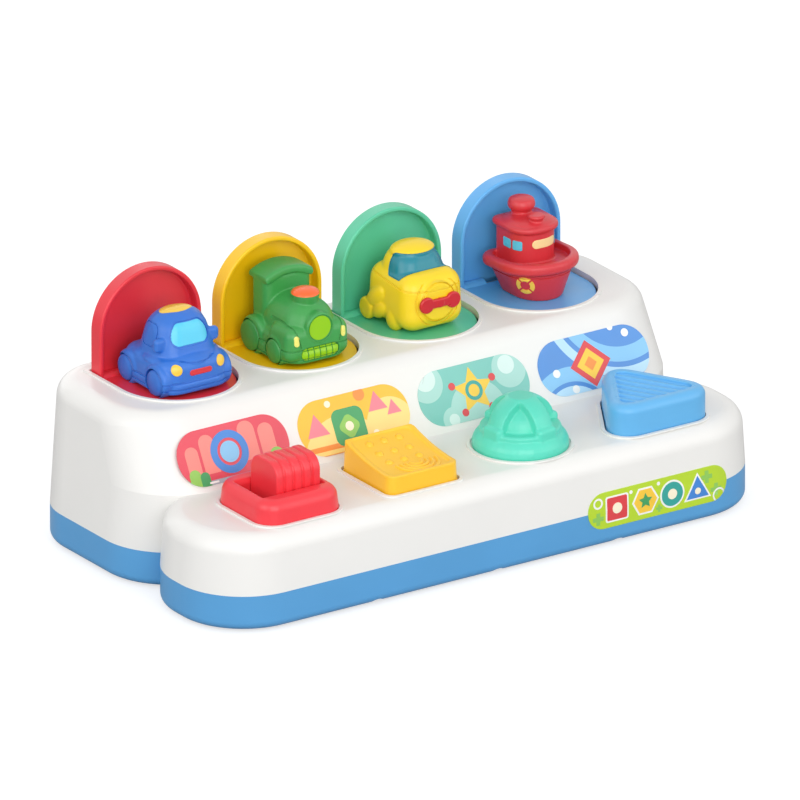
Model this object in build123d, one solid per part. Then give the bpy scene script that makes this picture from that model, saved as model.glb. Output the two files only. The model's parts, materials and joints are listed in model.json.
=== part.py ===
from build123d import *

import os
from math import cos, radians, sin, sqrt, tan

# Baby's pop-up toy: a white two-step case on a blue tray, four sprung doors with vehicles on the
# rear deck, and four controls on the front deck that each free one door through a release bar.
# Millimetres. Origin at the bottom centre, X to the right, Y to the back, Z up. Doors stand open.

# Case, seen from above
UNIT_COUNT = 4
UNIT_PITCH = 66.0        # one door and one control per unit, side by side
REAR_END = 18.0          # rear lobe past the end units
FRONT_END = 19.5         # front lobe past the end units
CASE_DEPTH = 165.0
FRONT_CORNER_R = 34.0
WAIST_R = 35.0           # corners on both sides of the waist
REAR_CORNER_R = 30.0
LOBE_OVERLAP = 13.0      # how far the front lobe runs in under the sloped panel
DRAFT_DEG = 3.5

# Case heights and walls
FOOT_H = 1.2
TRAY_H = 17.0
FRONT_DECK_H = 44.7      # above the tray's bottom
REAR_DECK_H = 78.5
WALL = 2.5
TRAY_FLOOR = 2.5
SHELL_EDGE_R = 9.0
TRAY_EDGE_R = 4.0
TONGUE_T = 1.5           # lip on the tray that locates the shell
TONGUE_H = 3.0
TONGUE_ROOT = 5.0
TONGUE_GAP = 0.45
OPENING_RIM_W = 1.6      # raised white rim round each opening
OPENING_RIM_H = 0.8

# Rows of parts
ROW_FROM_FRONT = 32.0    # control row behind the front wall
HINGE_FROM_REAR = 25.0   # hinge axis ahead of the rear wall
HINGE_DROP = 3.5         # hinge axis below the rear deck
SLOPE_LEAD = 7.1         # virtual top edge of the sloped panel ahead of the door opening
SLOPE_RUN = 18.5

# Pop-up doors
DOOR_W = 55.5
LID_LEN = 51.0           # hinge axis to tip
LID_T = 8.0
LID_BACK = 5.0           # lid's back face behind the hinge axis
LID_RIM = 2.2
LID_RECESS = 5.5
DOOR_EDGE_R = 0.8
FLOOR_T = 2.5
FLOOR_TOP = 2.3          # floor's top above the hinge axis
DOOR_GAP = 0.9
KNUCKLE_R = 4.0
KNUCKLE_LEN = 14.0
KNUCKLE_END = 0.25       # knuckle's end inside the lid's side
SPRING_POCKET_R = 3.3
HOOK_W = 8.0
HOOK_REACH = 3.0         # past the floor's tip
HOOK_ROOT = 7.0
HOOK_DROP = 3.0          # hook's underside below the hinge axis
HOOK_STOP_GAP = 0.2      # below the deck, where the door stops open

# Hinge rod and its ribs
ROD_R = 1.5
ROD_RUN_GAP = 0.05
RIB_SIDE_GAP = 2.25
RIB_DEPTH = 14.0
RIB_DROP = 5.0           # rib's foot below the rod's axis
KEEPER_T = 2.5
KEEPER_EDGE = 1.2        # keeper left outside its screws
FIT_GAP = 0.02           # fixed pieces that are pressed or screwed together

# Screws
SCREW_R = 1.3
SCREW_HEAD_R = 2.6
SCREW_HEAD_H = 1.8
HOLE_SPARE = 0.8         # hole past the screw's tip
CASE_SCREW_R = 1.5
CASE_SCREW_HEAD_R = 3.0
CASE_SCREW_HEAD_H = 2.4
CASE_SCREW_GRIP = 8.0    # thread in the post
CASE_BOSS_R = 4.8
POST_R = 4.0
SCREW_SEAT = 6.0         # tray boss left above the screw head
POST_INSET_X = 11.5
REAR_POST_Y = 38.0       # corner posts ahead of the rear wall
FRONT_POST_Y = 24.0      # corner posts behind the front wall
FRONT_POST_X = 17.0
MID_FRONT_POST_Y = 18.0
MID_REAR_POST_Y = 10.0

# Feet
FOOT_R = 7.0
FOOT_SEAT = 0.8
FOOT_INSET_X = 31.0
FOOT_INSET_Y = 16.0
NOTCH_R = 5.0            # shallow notches under the tray's front edge
NOTCH_D = 1.6

# Catch leaves
LEAF_W = 9.0
LEAF_T = 1.4
LEAF_LEN = 43.0
LEAF_UNDER_HOOK = 0.7
BARB_OVER_HOOK = 1.8
BARB_L = 4.0
BARB_GAP = 0.3
LEAF_EAR = 2.75          # ear beside the leaf, short of the bar
RIDGE_H = 3.5
RIDGE_FROM_BARB = 21.0
LEAF_BOSS = 11.0
LEAF_SCREW_GRIP = 6.0

# Release bars
BAR_W = 5.0
BAR_H = 5.0
BAR_Z = 8.0
BAR_GAP = 0.25
LUG_L = 4.0
LUG_TOP = 5.8            # lug's top above the leaf
LUG_GAP = 0.6
LUG_FACE = 2.3
LUG_LIFT = 0.8
LUG_X = 5.4              # lug's left end from the unit's middle
LUG_STEM = 2.2
POST_L = 5.0             # upright at a bar's front end
GUIDE_L = 6.0
GUIDE_WALL = 2.0
GUIDE_LIP = 3.0
GUIDE_FRONT_Y = 17.0     # guide middles behind the control row
GUIDE_REAR_Y = 58.0
BRIDGE_L = 14.0
BRIDGE_T = 3.0
BRIDGE_POST_X = 24.0
BRIDGE_POST_R = 3.6
BRIDGE_END = 5.5
BRIDGE_SCREW_GRIP = 6.0
BAR_SPRING_R = 2.0       # middle of the wire
BAR_SPRING_WIRE = 0.8
BAR_SPRING_LEN = 18.0
BAR_SPRING_TURNS = 6
BAR_SPRING_X = 6.2
BAR_SPRING_Y = 26.0      # spring's front end behind the control row
SPRING_SEAT_T = 2.5

# Door springs
DOOR_SPRING_R = 2.3
DOOR_SPRING_WIRE = 0.9
DOOR_SPRING_TURNS = 5
DOOR_SPRING_PITCH = 1.6
DOOR_SPRING_LEG = 9.0
SPRING_STOP_W = 14.0     # pads that the spring's legs push on
SPRING_STOP_T = 2.0

# Red sliding block and its frame
FRAME_W = 44.5
FRAME_H = 11.5
FRAME_R = 10.0
FRAME_EDGE_R = 3.0
FRAME_MOUTH_R = 0.8
FRAME_DRAFT_DEG = 4.0
FRAME_SCREW_Y = 16.0
FRAME_SCREW_GRIP = 6.0
BLOCK_L = 25.0
BLOCK_W = 22.0
BLOCK_H = 22.0
BLOCK_ARCH_R = 9.0
BLOCK_RIBS = 5
BLOCK_GROOVE_W = 1.1
BLOCK_GROOVE_D = 1.0
BLOCK_EDGE_R = 2.0
BLOCK_LIFT = 0.2
SLIDE_TRAVEL = 6.5
SLIDE_GAP = 0.3
NECK_L = 13.0
NECK_W = 8.0
NECK_BACK = 8.0          # neck's left end from the unit's middle
SLIDE_FOOT_T = 3.0
SLIDE_FOOT_END = 5.5
SLIDE_FOOT_W = 20.0
SLIDE_FOOT_L = 36.0
DECK_SLACK = 0.4         # feet under the deck
PEG_R = 2.0
PEG_GAP = 0.3
PEG_LEN = 6.0
POST_CAP = 2.0

# Yellow rocker key
KEY_W = 39.0
KEY_L = 41.5
KEY_CORNER_R = 4.5
KEY_BACK_H = 16.0
KEY_MID_H = 10.4
KEY_FRONT_H = 9.0
KEY_LEAN = 2.5
KEY_AXIS_IN = 2.5        # pivot behind the front face
KEY_AXIS_DROP = 6.0      # pivot below the deck
KEY_SKIRT = 4.0          # skirt below the pivot
KEY_GAP = 0.7
KEY_WALL = 2.2
KEY_DOT_R = 1.6
KEY_DOT_H = 0.7
KEY_DOT_PITCH = 9.0
KEY_DOT_SHIFT = 0.4      # rows of dots ahead of the top's middle, in pitches
KEY_EDGE_R = 2.0
KEY_PIN_R = 1.2
KEY_PIN_END = 4.0        # pin past the key's side
KEY_BOSS_R = 3.4
FINGER_W = 4.5
FINGER_T = 2.4
FINGER_NOSE_R = 2.0
FINGER_TIP = 2.5         # nose's middle above the bar
FORK_T = 2.5
FORK_H = 5.0

# Green twist knob
KNOB_R = 22.3
KNOB_SHOULDER_R = 18.0
KNOB_SHOULDER_H = 9.0
KNOB_DOME_R = 17.4
KNOB_H = 24.5
KNOB_TOP_R = 6.0
KNOB_BAND_W = 11.0
KNOB_RECESS = 2.0
KNOB_LIFT = 0.3
KNOB_SKIRT_H = 2.5
KNOB_SKIRT_BULGE = 1.2
KNOB_SHOULDER_STEP = 1.5
KNOB_BULGE = 0.2
KNOB_CROWN = 1.5
KNOB_STEM_R = 7.0
KNOB_STEM_GAP = 0.08
KNOB_SWING_DEG = 40.0
KNOB_REST_DEG = 9.0      # bands at rest, from the front
CRANK_R = 14.5
CRANK_SCREW_GRIP = 8.0
CRANK_T = 3.0
CRANK_PEG_LEN = 7.5
KNOB_RIM_GAP = 0.8

# Blue push button
BUTTON_SIDE = 30.0       # between the middles of its rounded corners
BUTTON_CORNER_R = 10.0
BUTTON_H = 15.0
BUTTON_EDGE_R = 4.0
BUTTON_RECESS = 1.4
BUTTON_RIM = 5.5
BUTTON_RIBS = 6
BUTTON_RIB_W = 1.6
BUTTON_RIB_H = 0.9
BUTTON_TRAVEL = 6.0
BUTTON_GAP = 0.7
BUTTON_WALL = 2.4
BUTTON_LEAD = 3.8        # triangle's middle ahead of the control row
BUTTON_FOOT_T = 3.0
BUTTON_FOOT_L = 9.0
BUTTON_FOOT_EXTRA = 3.5  # foot past the opening on each side
BUTTON_BOSS_R = 3.2
BUTTON_SCREW_X = 17.0
BUTTON_SCREW_GRIP = 7.0
BLADE_L = 8.0
BLADE_DROP = 11.0
BLADE_REACH = 5.0        # sloped part of the blade
BLADE_BACK = 6.5         # blade's back face behind the row
RAMP_GAP = 0.3
RAMP_SPARE = 4.0         # ramp longer than the press
RAMP_RISE = 4.0          # ramp's top above the blade's foot

# Labels
LABEL_T = 0.3
PANEL_LABEL_L = 60.0
PANEL_LABEL_H = 26.0
PANEL_LABEL_R = 12.5
PANEL_LABEL_DROP = 3.5   # label's middle below the middle of the panel
FRONT_LABEL_L = 77.0
FRONT_LABEL_H = 17.5
FRONT_LABEL_X = 87.0
FRONT_LABEL_RISE = 0.2   # label's middle above the seam

# Figures
FIGURE_BACK = 3.0        # figure's back ahead of the hinge axis
FIGURE_SCREW_X = 7.0
FIGURE_SCREW_Y = 15.0    # screws ahead of the figure's back
FIGURE_SCREW_GRIP = 6.0
FIGURE_BOSS_R = 3.0
FIGURE_BOSS_H = 9.0
WHEEL_PROUD = 0.6        # wheel face outside the body's side
CAR_W = 39.0
CAR_L = 41.0
CAR_H = 36.5
CAR_GROUND = 2.0
CAR_BODY_H = 16.0
CAR_BODY_R = 4.5
CAR_NOSE_R = 13.0        # corners seen from above
CAR_TAIL_R = 9.0
CAR_WHEEL_R = 6.3
CAR_WHEEL_T = 6.0
CAR_WHEEL_BASE = 24.0
CAR_WHEEL_BACK = 2.0     # middle of the wheels behind the car's middle
CAR_CABIN_W = 32.0
CAR_CABIN_L = 27.0
CAR_CABIN_R = 10.0
CAR_CABIN_AHEAD = 1.0
CAR_BUMPER_H = 4.0
CAR_BUMPER_Z = 3.5
CAR_BUMPER_IN = 0.8      # body's front behind the bumper
CAR_LAMP_R = 2.8
CAR_LAMP_X = 12.0
CAR_LAMP_Z = 12.3
CAR_LAMP_IN = 2.0        # lamp's face behind the bumper
CAR_LAMP_T = 6.0
TRAIN_W = 36.0
TRAIN_L = 40.5
TRAIN_H = 40.5
TRAIN_GROUND = 2.0
TRAIN_SKIRT_H = 13.0
TRAIN_SKIRT_R = 4.0
TRAIN_NOSE_R = 12.0
TRAIN_TAIL_R = 7.0
TRAIN_BOILER_R = 12.5
TRAIN_BOILER_Z = 16.2
TRAIN_BOILER_IN = 4.0    # boiler's front behind the skirt's front
TRAIN_PLATE_R = 8.5
TRAIN_PLATE_T = 1.6
TRAIN_CAB_W = 25.0
TRAIN_CAB_L = 14.0
TRAIN_CAB_R = 3.5
TRAIN_ROOF_W = 28.0
TRAIN_ROOF_L = 16.5
TRAIN_ROOF_T = 4.5
TRAIN_ROOF_ARCH_R = 24.0
TRAIN_ROOF_R = 1.6
TRAIN_WHEEL_R = 7.5
TRAIN_FRONT_WHEEL_R = 5.8
TRAIN_WHEEL_T = 5.0
TRAIN_REAR_WHEEL_Y = 12.6
TRAIN_STACK_R = 5.3
TRAIN_STACK_H = 32.0
TRAIN_STACK_Y = 7.3
TRAIN_CAP_R = 6.8
TRAIN_CAP_H = 3.4
TRAIN_CAP_EDGE = 1.2
SUB_W = 38.0
SUB_L = 40.5
SUB_H = 38.5
SUB_GROUND = 1.0
SUB_HULL_W = 32.0
SUB_HULL_H = 25.0
SUB_HULL_R = 11.5
SUB_TOWER_W = 29.0
SUB_TOWER_L = 27.0
SUB_TOWER_Z = 18.0
SUB_TOWER_R = 9.5
SUB_TOWER_BACK = 0.7
SUB_AXIS_Z = 15.4
SUB_FIN_R = 5.0
SUB_FIN_T = 5.5
SUB_FIN_Y = 14.6
SUB_FIN_Z = 5.6
SUB_POD_R = 5.0
SUB_POD_Y = 8.5
SUB_POD_Z = 12.0
SUB_RING_R = 10.0
SUB_RING_T = 5.0
SUB_NOSE = 2.0           # propeller ahead of the hull
SUB_BLADE_W = 22.0
SUB_BLADE_H = 7.0
SUB_BLADE_R = 0.8
SUB_KEEL_W = 7.0
SUB_KEEL_L = 15.0
SUB_KEEL_H = 6.0
SUB_KEEL_R = 2.5
SUB_KEEL_X = 11.0
BOAT_W = 41.0
BOAT_L = 40.0
BOAT_H = 42.5
BOAT_BOW = 0.92          # corner radii as parts of the half width
BOAT_STERN = 0.4
BOAT_DECK_H = 19.0
BOAT_FLARE = 7.0
BOAT_RAIL_H = 4.5
BOAT_RAIL_OUT = 1.0
BOAT_RAIL_R = 1.6
BOAT_CABIN_W = 23.0
BOAT_CABIN_L = 24.0
BOAT_CABIN_BACK = 6.4
BOAT_CABIN_BOW_R = 9.0
BOAT_CABIN_STERN_R = 3.0
BOAT_ROOF_H = 35.5
BOAT_LIP = 1.5
BOAT_LIP_T = 3.5
BOAT_LIP_R = 1.2
BOAT_FUNNEL_R = 5.0
BOAT_FUNNEL_BACK = 11.5
BOAT_CAP_R = 6.5
BOAT_CAP_H = 5.0
BOAT_CAP_EDGE = 1.4
BOAT_HATCH_R = 4.2
BOAT_HATCH_H = 2.2
BOAT_HATCH_Y = 0.8

# Places worked out from the sizes above
TRAY_Z = FOOT_H
SEAM_Z = TRAY_Z + TRAY_H
FRONT_DECK_Z = TRAY_Z + FRONT_DECK_H
REAR_DECK_Z = TRAY_Z + REAR_DECK_H
DECK_UNDER_Z = FRONT_DECK_Z - WALL
FLOOR_Z = TRAY_Z + TRAY_FLOOR
FRONT_Y = -CASE_DEPTH / 2
REAR_Y = CASE_DEPTH / 2
REAR_HALF = UNIT_COUNT * UNIT_PITCH / 2 + REAR_END
FRONT_HALF = UNIT_COUNT * UNIT_PITCH / 2 + FRONT_END
ROW_Y = FRONT_Y + ROW_FROM_FRONT
HINGE_Y = REAR_Y - HINGE_FROM_REAR
HINGE_Z = REAR_DECK_Z - HINGE_DROP
OPENING_HALF = DOOR_W / 2 + DOOR_GAP
OPENING_FRONT_Y = HINGE_Y - LID_LEN - DOOR_GAP
OPENING_BACK_Y = HINGE_Y + LID_BACK + DOOR_GAP
SLOPE_TOP_Y = OPENING_FRONT_Y - SLOPE_LEAD
SLOPE_FOOT_Y = SLOPE_TOP_Y - SLOPE_RUN
SLOPE_RATE = SLOPE_RUN / (REAR_DECK_Z - FRONT_DECK_Z)
SLOPE_STRETCH = sqrt(1 + SLOPE_RATE ** 2)
UNITS = [(i - (UNIT_COUNT - 1) / 2) * UNIT_PITCH for i in range(UNIT_COUNT)]
RED_X, YELLOW_X, GREEN_X, BLUE_X = UNITS
RIB_W = UNIT_PITCH - DOOR_W - 2 * RIB_SIDE_GAP
RIB_XS = [(i - UNIT_COUNT / 2) * UNIT_PITCH for i in range(UNIT_COUNT + 1)]
HOOK_LOW_Z = HINGE_Z - LID_LEN - HOOK_REACH
LEAF_Z = HOOK_LOW_Z - LEAF_UNDER_HOOK
HOOK_TOP = HINGE_DROP - WALL - HOOK_STOP_GAP
BARB_BACK_Y = HINGE_Y - HOOK_TOP - BARB_GAP
LEAF_FRONT_Y = BARB_BACK_Y - LEAF_LEN
LEAF_SCREW_Y = LEAF_FRONT_Y + LEAF_BOSS / 2
RIDGE_Y = BARB_BACK_Y - RIDGE_FROM_BARB
BAR_X = LEAF_W / 2 + LEAF_EAR + BAR_GAP + BAR_W / 2
BAR_TOP_Z = BAR_Z + BAR_H
LUG_Y = RIDGE_Y + RIDGE_H + LUG_GAP - LUG_FACE - LUG_LIFT
BAR_BACK_Y = LUG_Y + LUG_L
BRIDGE_Y = ROW_Y + GUIDE_FRONT_Y
SPRING_SEAT_Y = ROW_Y + BAR_SPRING_Y
SPRING_STOP_Y = OPENING_BACK_Y + DOOR_GAP
BUTTON_SCREW_Y = ROW_Y - BUTTON_LEAD - BUTTON_SIDE / (2 * sqrt(3))
KEY_FRONT_Y = ROW_Y - KEY_L / 2
KEY_AXIS_Y = KEY_FRONT_Y + KEY_AXIS_IN
KEY_AXIS_Z = FRONT_DECK_Z - KEY_AXIS_DROP
PEG_TOP_Z = DECK_UNDER_Z - DECK_SLACK - PEG_GAP
KNOB_PEG_R = BAR_X / cos(radians(KNOB_SWING_DEG / 2))
KNOB_PEG_Y = KNOB_PEG_R * sin(radians(KNOB_SWING_DEG / 2))


# Small helpers
def box(x0, x1, y0, y1, z0, z1):
    return Pos((x0 + x1) / 2, (y0 + y1) / 2, (z0 + z1) / 2) * Box(x1 - x0, y1 - y0, z1 - z0)


def post(x, y, z0, z1, r):
    return Pos(x, y, (z0 + z1) / 2) * Cylinder(r, z1 - z0)


def axle(x0, x1, y, z, r):
    return Pos((x0 + x1) / 2, y, z) * Rot(0, 90, 0) * Cylinder(r, x1 - x0)


def pipe_y(x, y0, y1, z, r):
    return Pos(x, (y0 + y1) / 2, z) * Rot(90, 0, 0) * Cylinder(r, y1 - y0)


def side_profile(points, x0, x1):
    face = make_face(Polyline(*[(0, y, z) for y, z in points], close=True))
    return extrude(Pos(x0, 0, 0) * face, x1 - x0, dir=(1, 0, 0))


def lobe(half, y0, y1, r_front, r_back):
    face = Pos(0, (y0 + y1) / 2) * Rectangle(2 * half, y1 - y0)
    face = fillet(face.vertices().group_by(Axis.Y)[0], r_front)
    return fillet(face.vertices().group_by(Axis.Y)[-1], r_back)


def rear_lobe(inset, front_y):
    return lobe(REAR_HALF - inset, front_y, REAR_Y - inset, WAIST_R - inset, REAR_CORNER_R - inset)


def front_lobe(inset):
    back_y = SLOPE_FOOT_Y + LOBE_OVERLAP - inset
    return lobe(FRONT_HALF - inset, FRONT_Y + inset, back_y, FRONT_CORNER_R - inset, WAIST_R - inset)


def door_shape(half, length):
    straight = length - half
    shape = Pos(0, straight / 2) * Rectangle(2 * half, straight) + Pos(0, straight) * Circle(half)
    return shape & Pos(0, length / 2) * Rectangle(2 * half, length)


def floor_plane(z):
    return Plane(origin=(0, HINGE_Y, z), x_dir=(1, 0, 0), z_dir=(0, 0, -1))


def lid_plane(y):
    return Plane(origin=(0, y, HINGE_Z), x_dir=(1, 0, 0), z_dir=(0, -1, 0))


def screw(x, y, seat_z, grip, up, r=SCREW_R, head_r=SCREW_HEAD_R, head_h=SCREW_HEAD_H):
    way = 1 if up else -1
    ends = sorted([seat_z, seat_z + way * grip])
    head = sorted([seat_z, seat_z - way * head_h])
    return post(x, y, *ends, r) + post(x, y, *head, head_r)


def save(node, *solids):
    shape = solids[0] if len(solids) == 1 else Compound(children=list(solids))
    export_step(shape, os.path.join("parts", node + ".step"))


# Case shell
def slope_y(z, inset):
    return SLOPE_FOOT_Y + (z - FRONT_DECK_Z) * SLOPE_RATE + inset * SLOPE_STRETCH


def draft_at(z):
    return (z - SEAM_Z) * tan(radians(DRAFT_DEG))


def case_block(inset, foot_z):
    top_z = REAR_DECK_Z - inset
    mid_z = FRONT_DECK_Z - inset
    edge = SHELL_EDGE_R - inset
    mid_y = slope_y(mid_z, inset)
    levels = [(foot_z, mid_y), (mid_z, mid_y), (top_z, slope_y(top_z, inset))]
    sections = [Pos(0, 0, z) * rear_lobe(inset + draft_at(z), y) for z, y in levels]
    rear = loft(sections, ruled=True)
    rear = fillet(rear.faces().sort_by(Axis.Z)[-1].edges(), edge)
    front = loft([Pos(0, 0, z) * front_lobe(inset + draft_at(z)) for z in (foot_z, mid_z)], ruled=True)
    front = fillet(front.faces().sort_by(Axis.Z)[-1].edges(), edge)
    return rear + front


def post_places():
    return [
        (-REAR_HALF + POST_INSET_X, REAR_Y - REAR_POST_Y),
        (REAR_HALF - POST_INSET_X, REAR_Y - REAR_POST_Y),
        (-FRONT_HALF + FRONT_POST_X, FRONT_Y + FRONT_POST_Y),
        (FRONT_HALF - FRONT_POST_X, FRONT_Y + FRONT_POST_Y),
        (0, FRONT_Y + MID_FRONT_POST_Y),
        (0, REAR_Y - MID_REAR_POST_Y),
    ]


def triangle(grow):
    reach = BUTTON_SIDE / sqrt(3)
    corners = [(reach * sin(radians(a)), reach * cos(radians(a))) for a in (0, 120, 240)]
    face = make_face(Polyline(*corners, close=True))
    return Pos(BLUE_X, ROW_Y - BUTTON_LEAD) * offset(face, BUTTON_CORNER_R + grow)


def key_opening(grow):
    width = KEY_W + 2 * (KEY_GAP + grow)
    length = KEY_L + 2 * (KEY_GAP + grow)
    return Pos(YELLOW_X, ROW_Y) * RectangleRounded(width, length, KEY_CORNER_R + grow)


def knob_seat(grow):
    return Pos(GREEN_X, ROW_Y) * Circle(KNOB_R + KNOB_RIM_GAP + grow)


def frame_seat(grow):
    return Pos(RED_X, ROW_Y) * RectangleRounded(FRAME_W + 2 * grow, FRAME_W + 2 * grow, FRAME_R + grow)


def rim(outer, inner, z):
    return extrude(Pos(0, 0, z - FIT_GAP) * (outer - inner), OPENING_RIM_H + FIT_GAP)


def door_openings(grow):
    back = OPENING_BACK_Y - HINGE_Y
    shape = Pos(0, -back - grow) * door_shape(OPENING_HALF + grow, LID_LEN + DOOR_GAP + back + 2 * grow)
    return [Pos(x, 0, 0) * floor_plane(REAR_DECK_Z) * shape for x in UNITS]


def keeper_screw_ys():
    away = RIB_DEPTH / 2 - SCREW_R - KEEPER_EDGE
    return [HINGE_Y - away, HINGE_Y + away]


def key_boss(side):
    x0 = YELLOW_X + side * (KEY_W / 2 + KEY_GAP)
    x1 = x0 + side * KEY_PIN_END
    return box(min(x0, x1), max(x0, x1), KEY_AXIS_Y - KEY_BOSS_R, KEY_AXIS_Y + KEY_BOSS_R,
               KEY_AXIS_Z - KEY_BOSS_R, DECK_UNDER_Z + WALL / 2)


def hinge_rib(x):
    rib = box(x - RIB_W / 2, x + RIB_W / 2, HINGE_Y - RIB_DEPTH / 2, HINGE_Y + RIB_DEPTH / 2,
              HINGE_Z - RIB_DROP, REAR_DECK_Z - WALL / 2)
    bore = ROD_R + FIT_GAP
    slot = box(x - RIB_W, x + RIB_W, HINGE_Y - bore, HINGE_Y + bore, HINGE_Z - 2 * RIB_DROP, HINGE_Z)
    return rib - [slot, axle(x - RIB_W, x + RIB_W, HINGE_Y, HINGE_Z, bore)]


def top_shell():
    outer = case_block(0, SEAM_Z)
    adds = [post(x, y, SEAM_Z, REAR_DECK_Z, POST_R) & outer for x, y in post_places()]
    adds += [hinge_rib(x) for x in RIB_XS]
    adds += [key_boss(side) for side in (-1, 1)]
    for x in UNITS:
        adds.append(box(x - SPRING_STOP_W / 2, x + SPRING_STOP_W / 2, SPRING_STOP_Y,
                        SPRING_STOP_Y + SPRING_STOP_T, HINGE_Z - DOOR_SPRING_R + DOOR_SPRING_WIRE / 2,
                        REAR_DECK_Z - WALL / 2))
    for opening, edge in zip(door_openings(0), door_openings(OPENING_RIM_W)):
        adds.append(extrude(edge - opening, -OPENING_RIM_H))
    for seat, grow in ((key_opening, 0), (knob_seat, 0), (triangle, BUTTON_GAP), (frame_seat, SLIDE_GAP)):
        adds.append(rim(seat(grow + OPENING_RIM_W), seat(grow), FRONT_DECK_Z))

    deep = 2 * WALL
    low, high = FRONT_DECK_Z - deep, FRONT_DECK_Z + deep
    neck_x = RED_X - NECK_BACK
    half_pin = KEY_W / 2 + KEY_GAP + KEY_PIN_END
    cuts = [extrude(opening, deep, both=True) for opening in door_openings(0)]
    cuts += [extrude(Pos(0, 0, FRONT_DECK_Z) * key_opening(0), deep, both=True),
             extrude(Pos(0, 0, FRONT_DECK_Z) * triangle(BUTTON_GAP), deep, both=True),
             post(GREEN_X, ROW_Y, low, high, KNOB_STEM_R + KNOB_STEM_GAP),
             box(neck_x - SLIDE_TRAVEL - SLIDE_GAP, neck_x + NECK_L + SLIDE_GAP,
                 ROW_Y - NECK_W / 2 - SLIDE_GAP, ROW_Y + NECK_W / 2 + SLIDE_GAP, low, high),
             axle(YELLOW_X - half_pin, YELLOW_X + half_pin, KEY_AXIS_Y, KEY_AXIS_Z, KEY_PIN_R + FIT_GAP)]
    cuts.append(axle(RIB_XS[0] - RIB_W / 2, RIB_XS[-1] + RIB_W / 2, HINGE_Y, HINGE_Z, ROD_R + FIT_GAP))
    cuts += [post(RED_X, y, low, high, SCREW_R + FIT_GAP) for y in frame_screw_ys()]
    cuts += [post(x, y, SEAM_Z, SEAM_Z + CASE_SCREW_GRIP + HOLE_SPARE, CASE_SCREW_R + FIT_GAP)
             for x, y in post_places()]
    cuts += [post(x, y, HINGE_Z - RIB_DROP, HINGE_Z + HOLE_SPARE, SCREW_R + FIT_GAP)
             for x in RIB_XS for y in keeper_screw_ys()]
    shell = outer - case_block(WALL, SEAM_Z - WALL)
    return shell + adds - cuts


# Base tray
def foot_places():
    y0, y1 = FRONT_Y + FOOT_INSET_Y, REAR_Y - FOOT_INSET_Y
    x0, x1 = FRONT_HALF - FOOT_INSET_X, REAR_HALF - FOOT_INSET_X
    return [(-x0, y0), (-UNIT_PITCH / 2, y0), (UNIT_PITCH / 2, y0), (x0, y0), (-x1, y1), (x1, y1)]


def bridge_posts():
    return [x - BRIDGE_POST_X for x in UNITS] + [UNITS[-1] + BRIDGE_POST_X]


def frame_screw_ys():
    return [ROW_Y - FRAME_SCREW_Y, ROW_Y + FRAME_SCREW_Y]


def ring(outer_inset, inner_inset, z0, z1):
    outer = rear_lobe(outer_inset, SLOPE_FOOT_Y + outer_inset) + front_lobe(outer_inset)
    inner = rear_lobe(inner_inset, SLOPE_FOOT_Y + inner_inset) + front_lobe(inner_inset)
    return extrude(Pos(0, 0, z0) * (outer - inner), z1 - z0)


def bar_guide(x, y):
    half = BAR_W / 2 + BAR_GAP
    block = box(x - half - GUIDE_WALL, x + half + GUIDE_WALL, y - GUIDE_L / 2, y + GUIDE_L / 2,
                FLOOR_Z, BAR_Z + GUIDE_LIP)
    return block - box(x - half, x + half, y - GUIDE_L, y + GUIDE_L, BAR_Z - BAR_GAP, BAR_TOP_Z)


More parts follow.
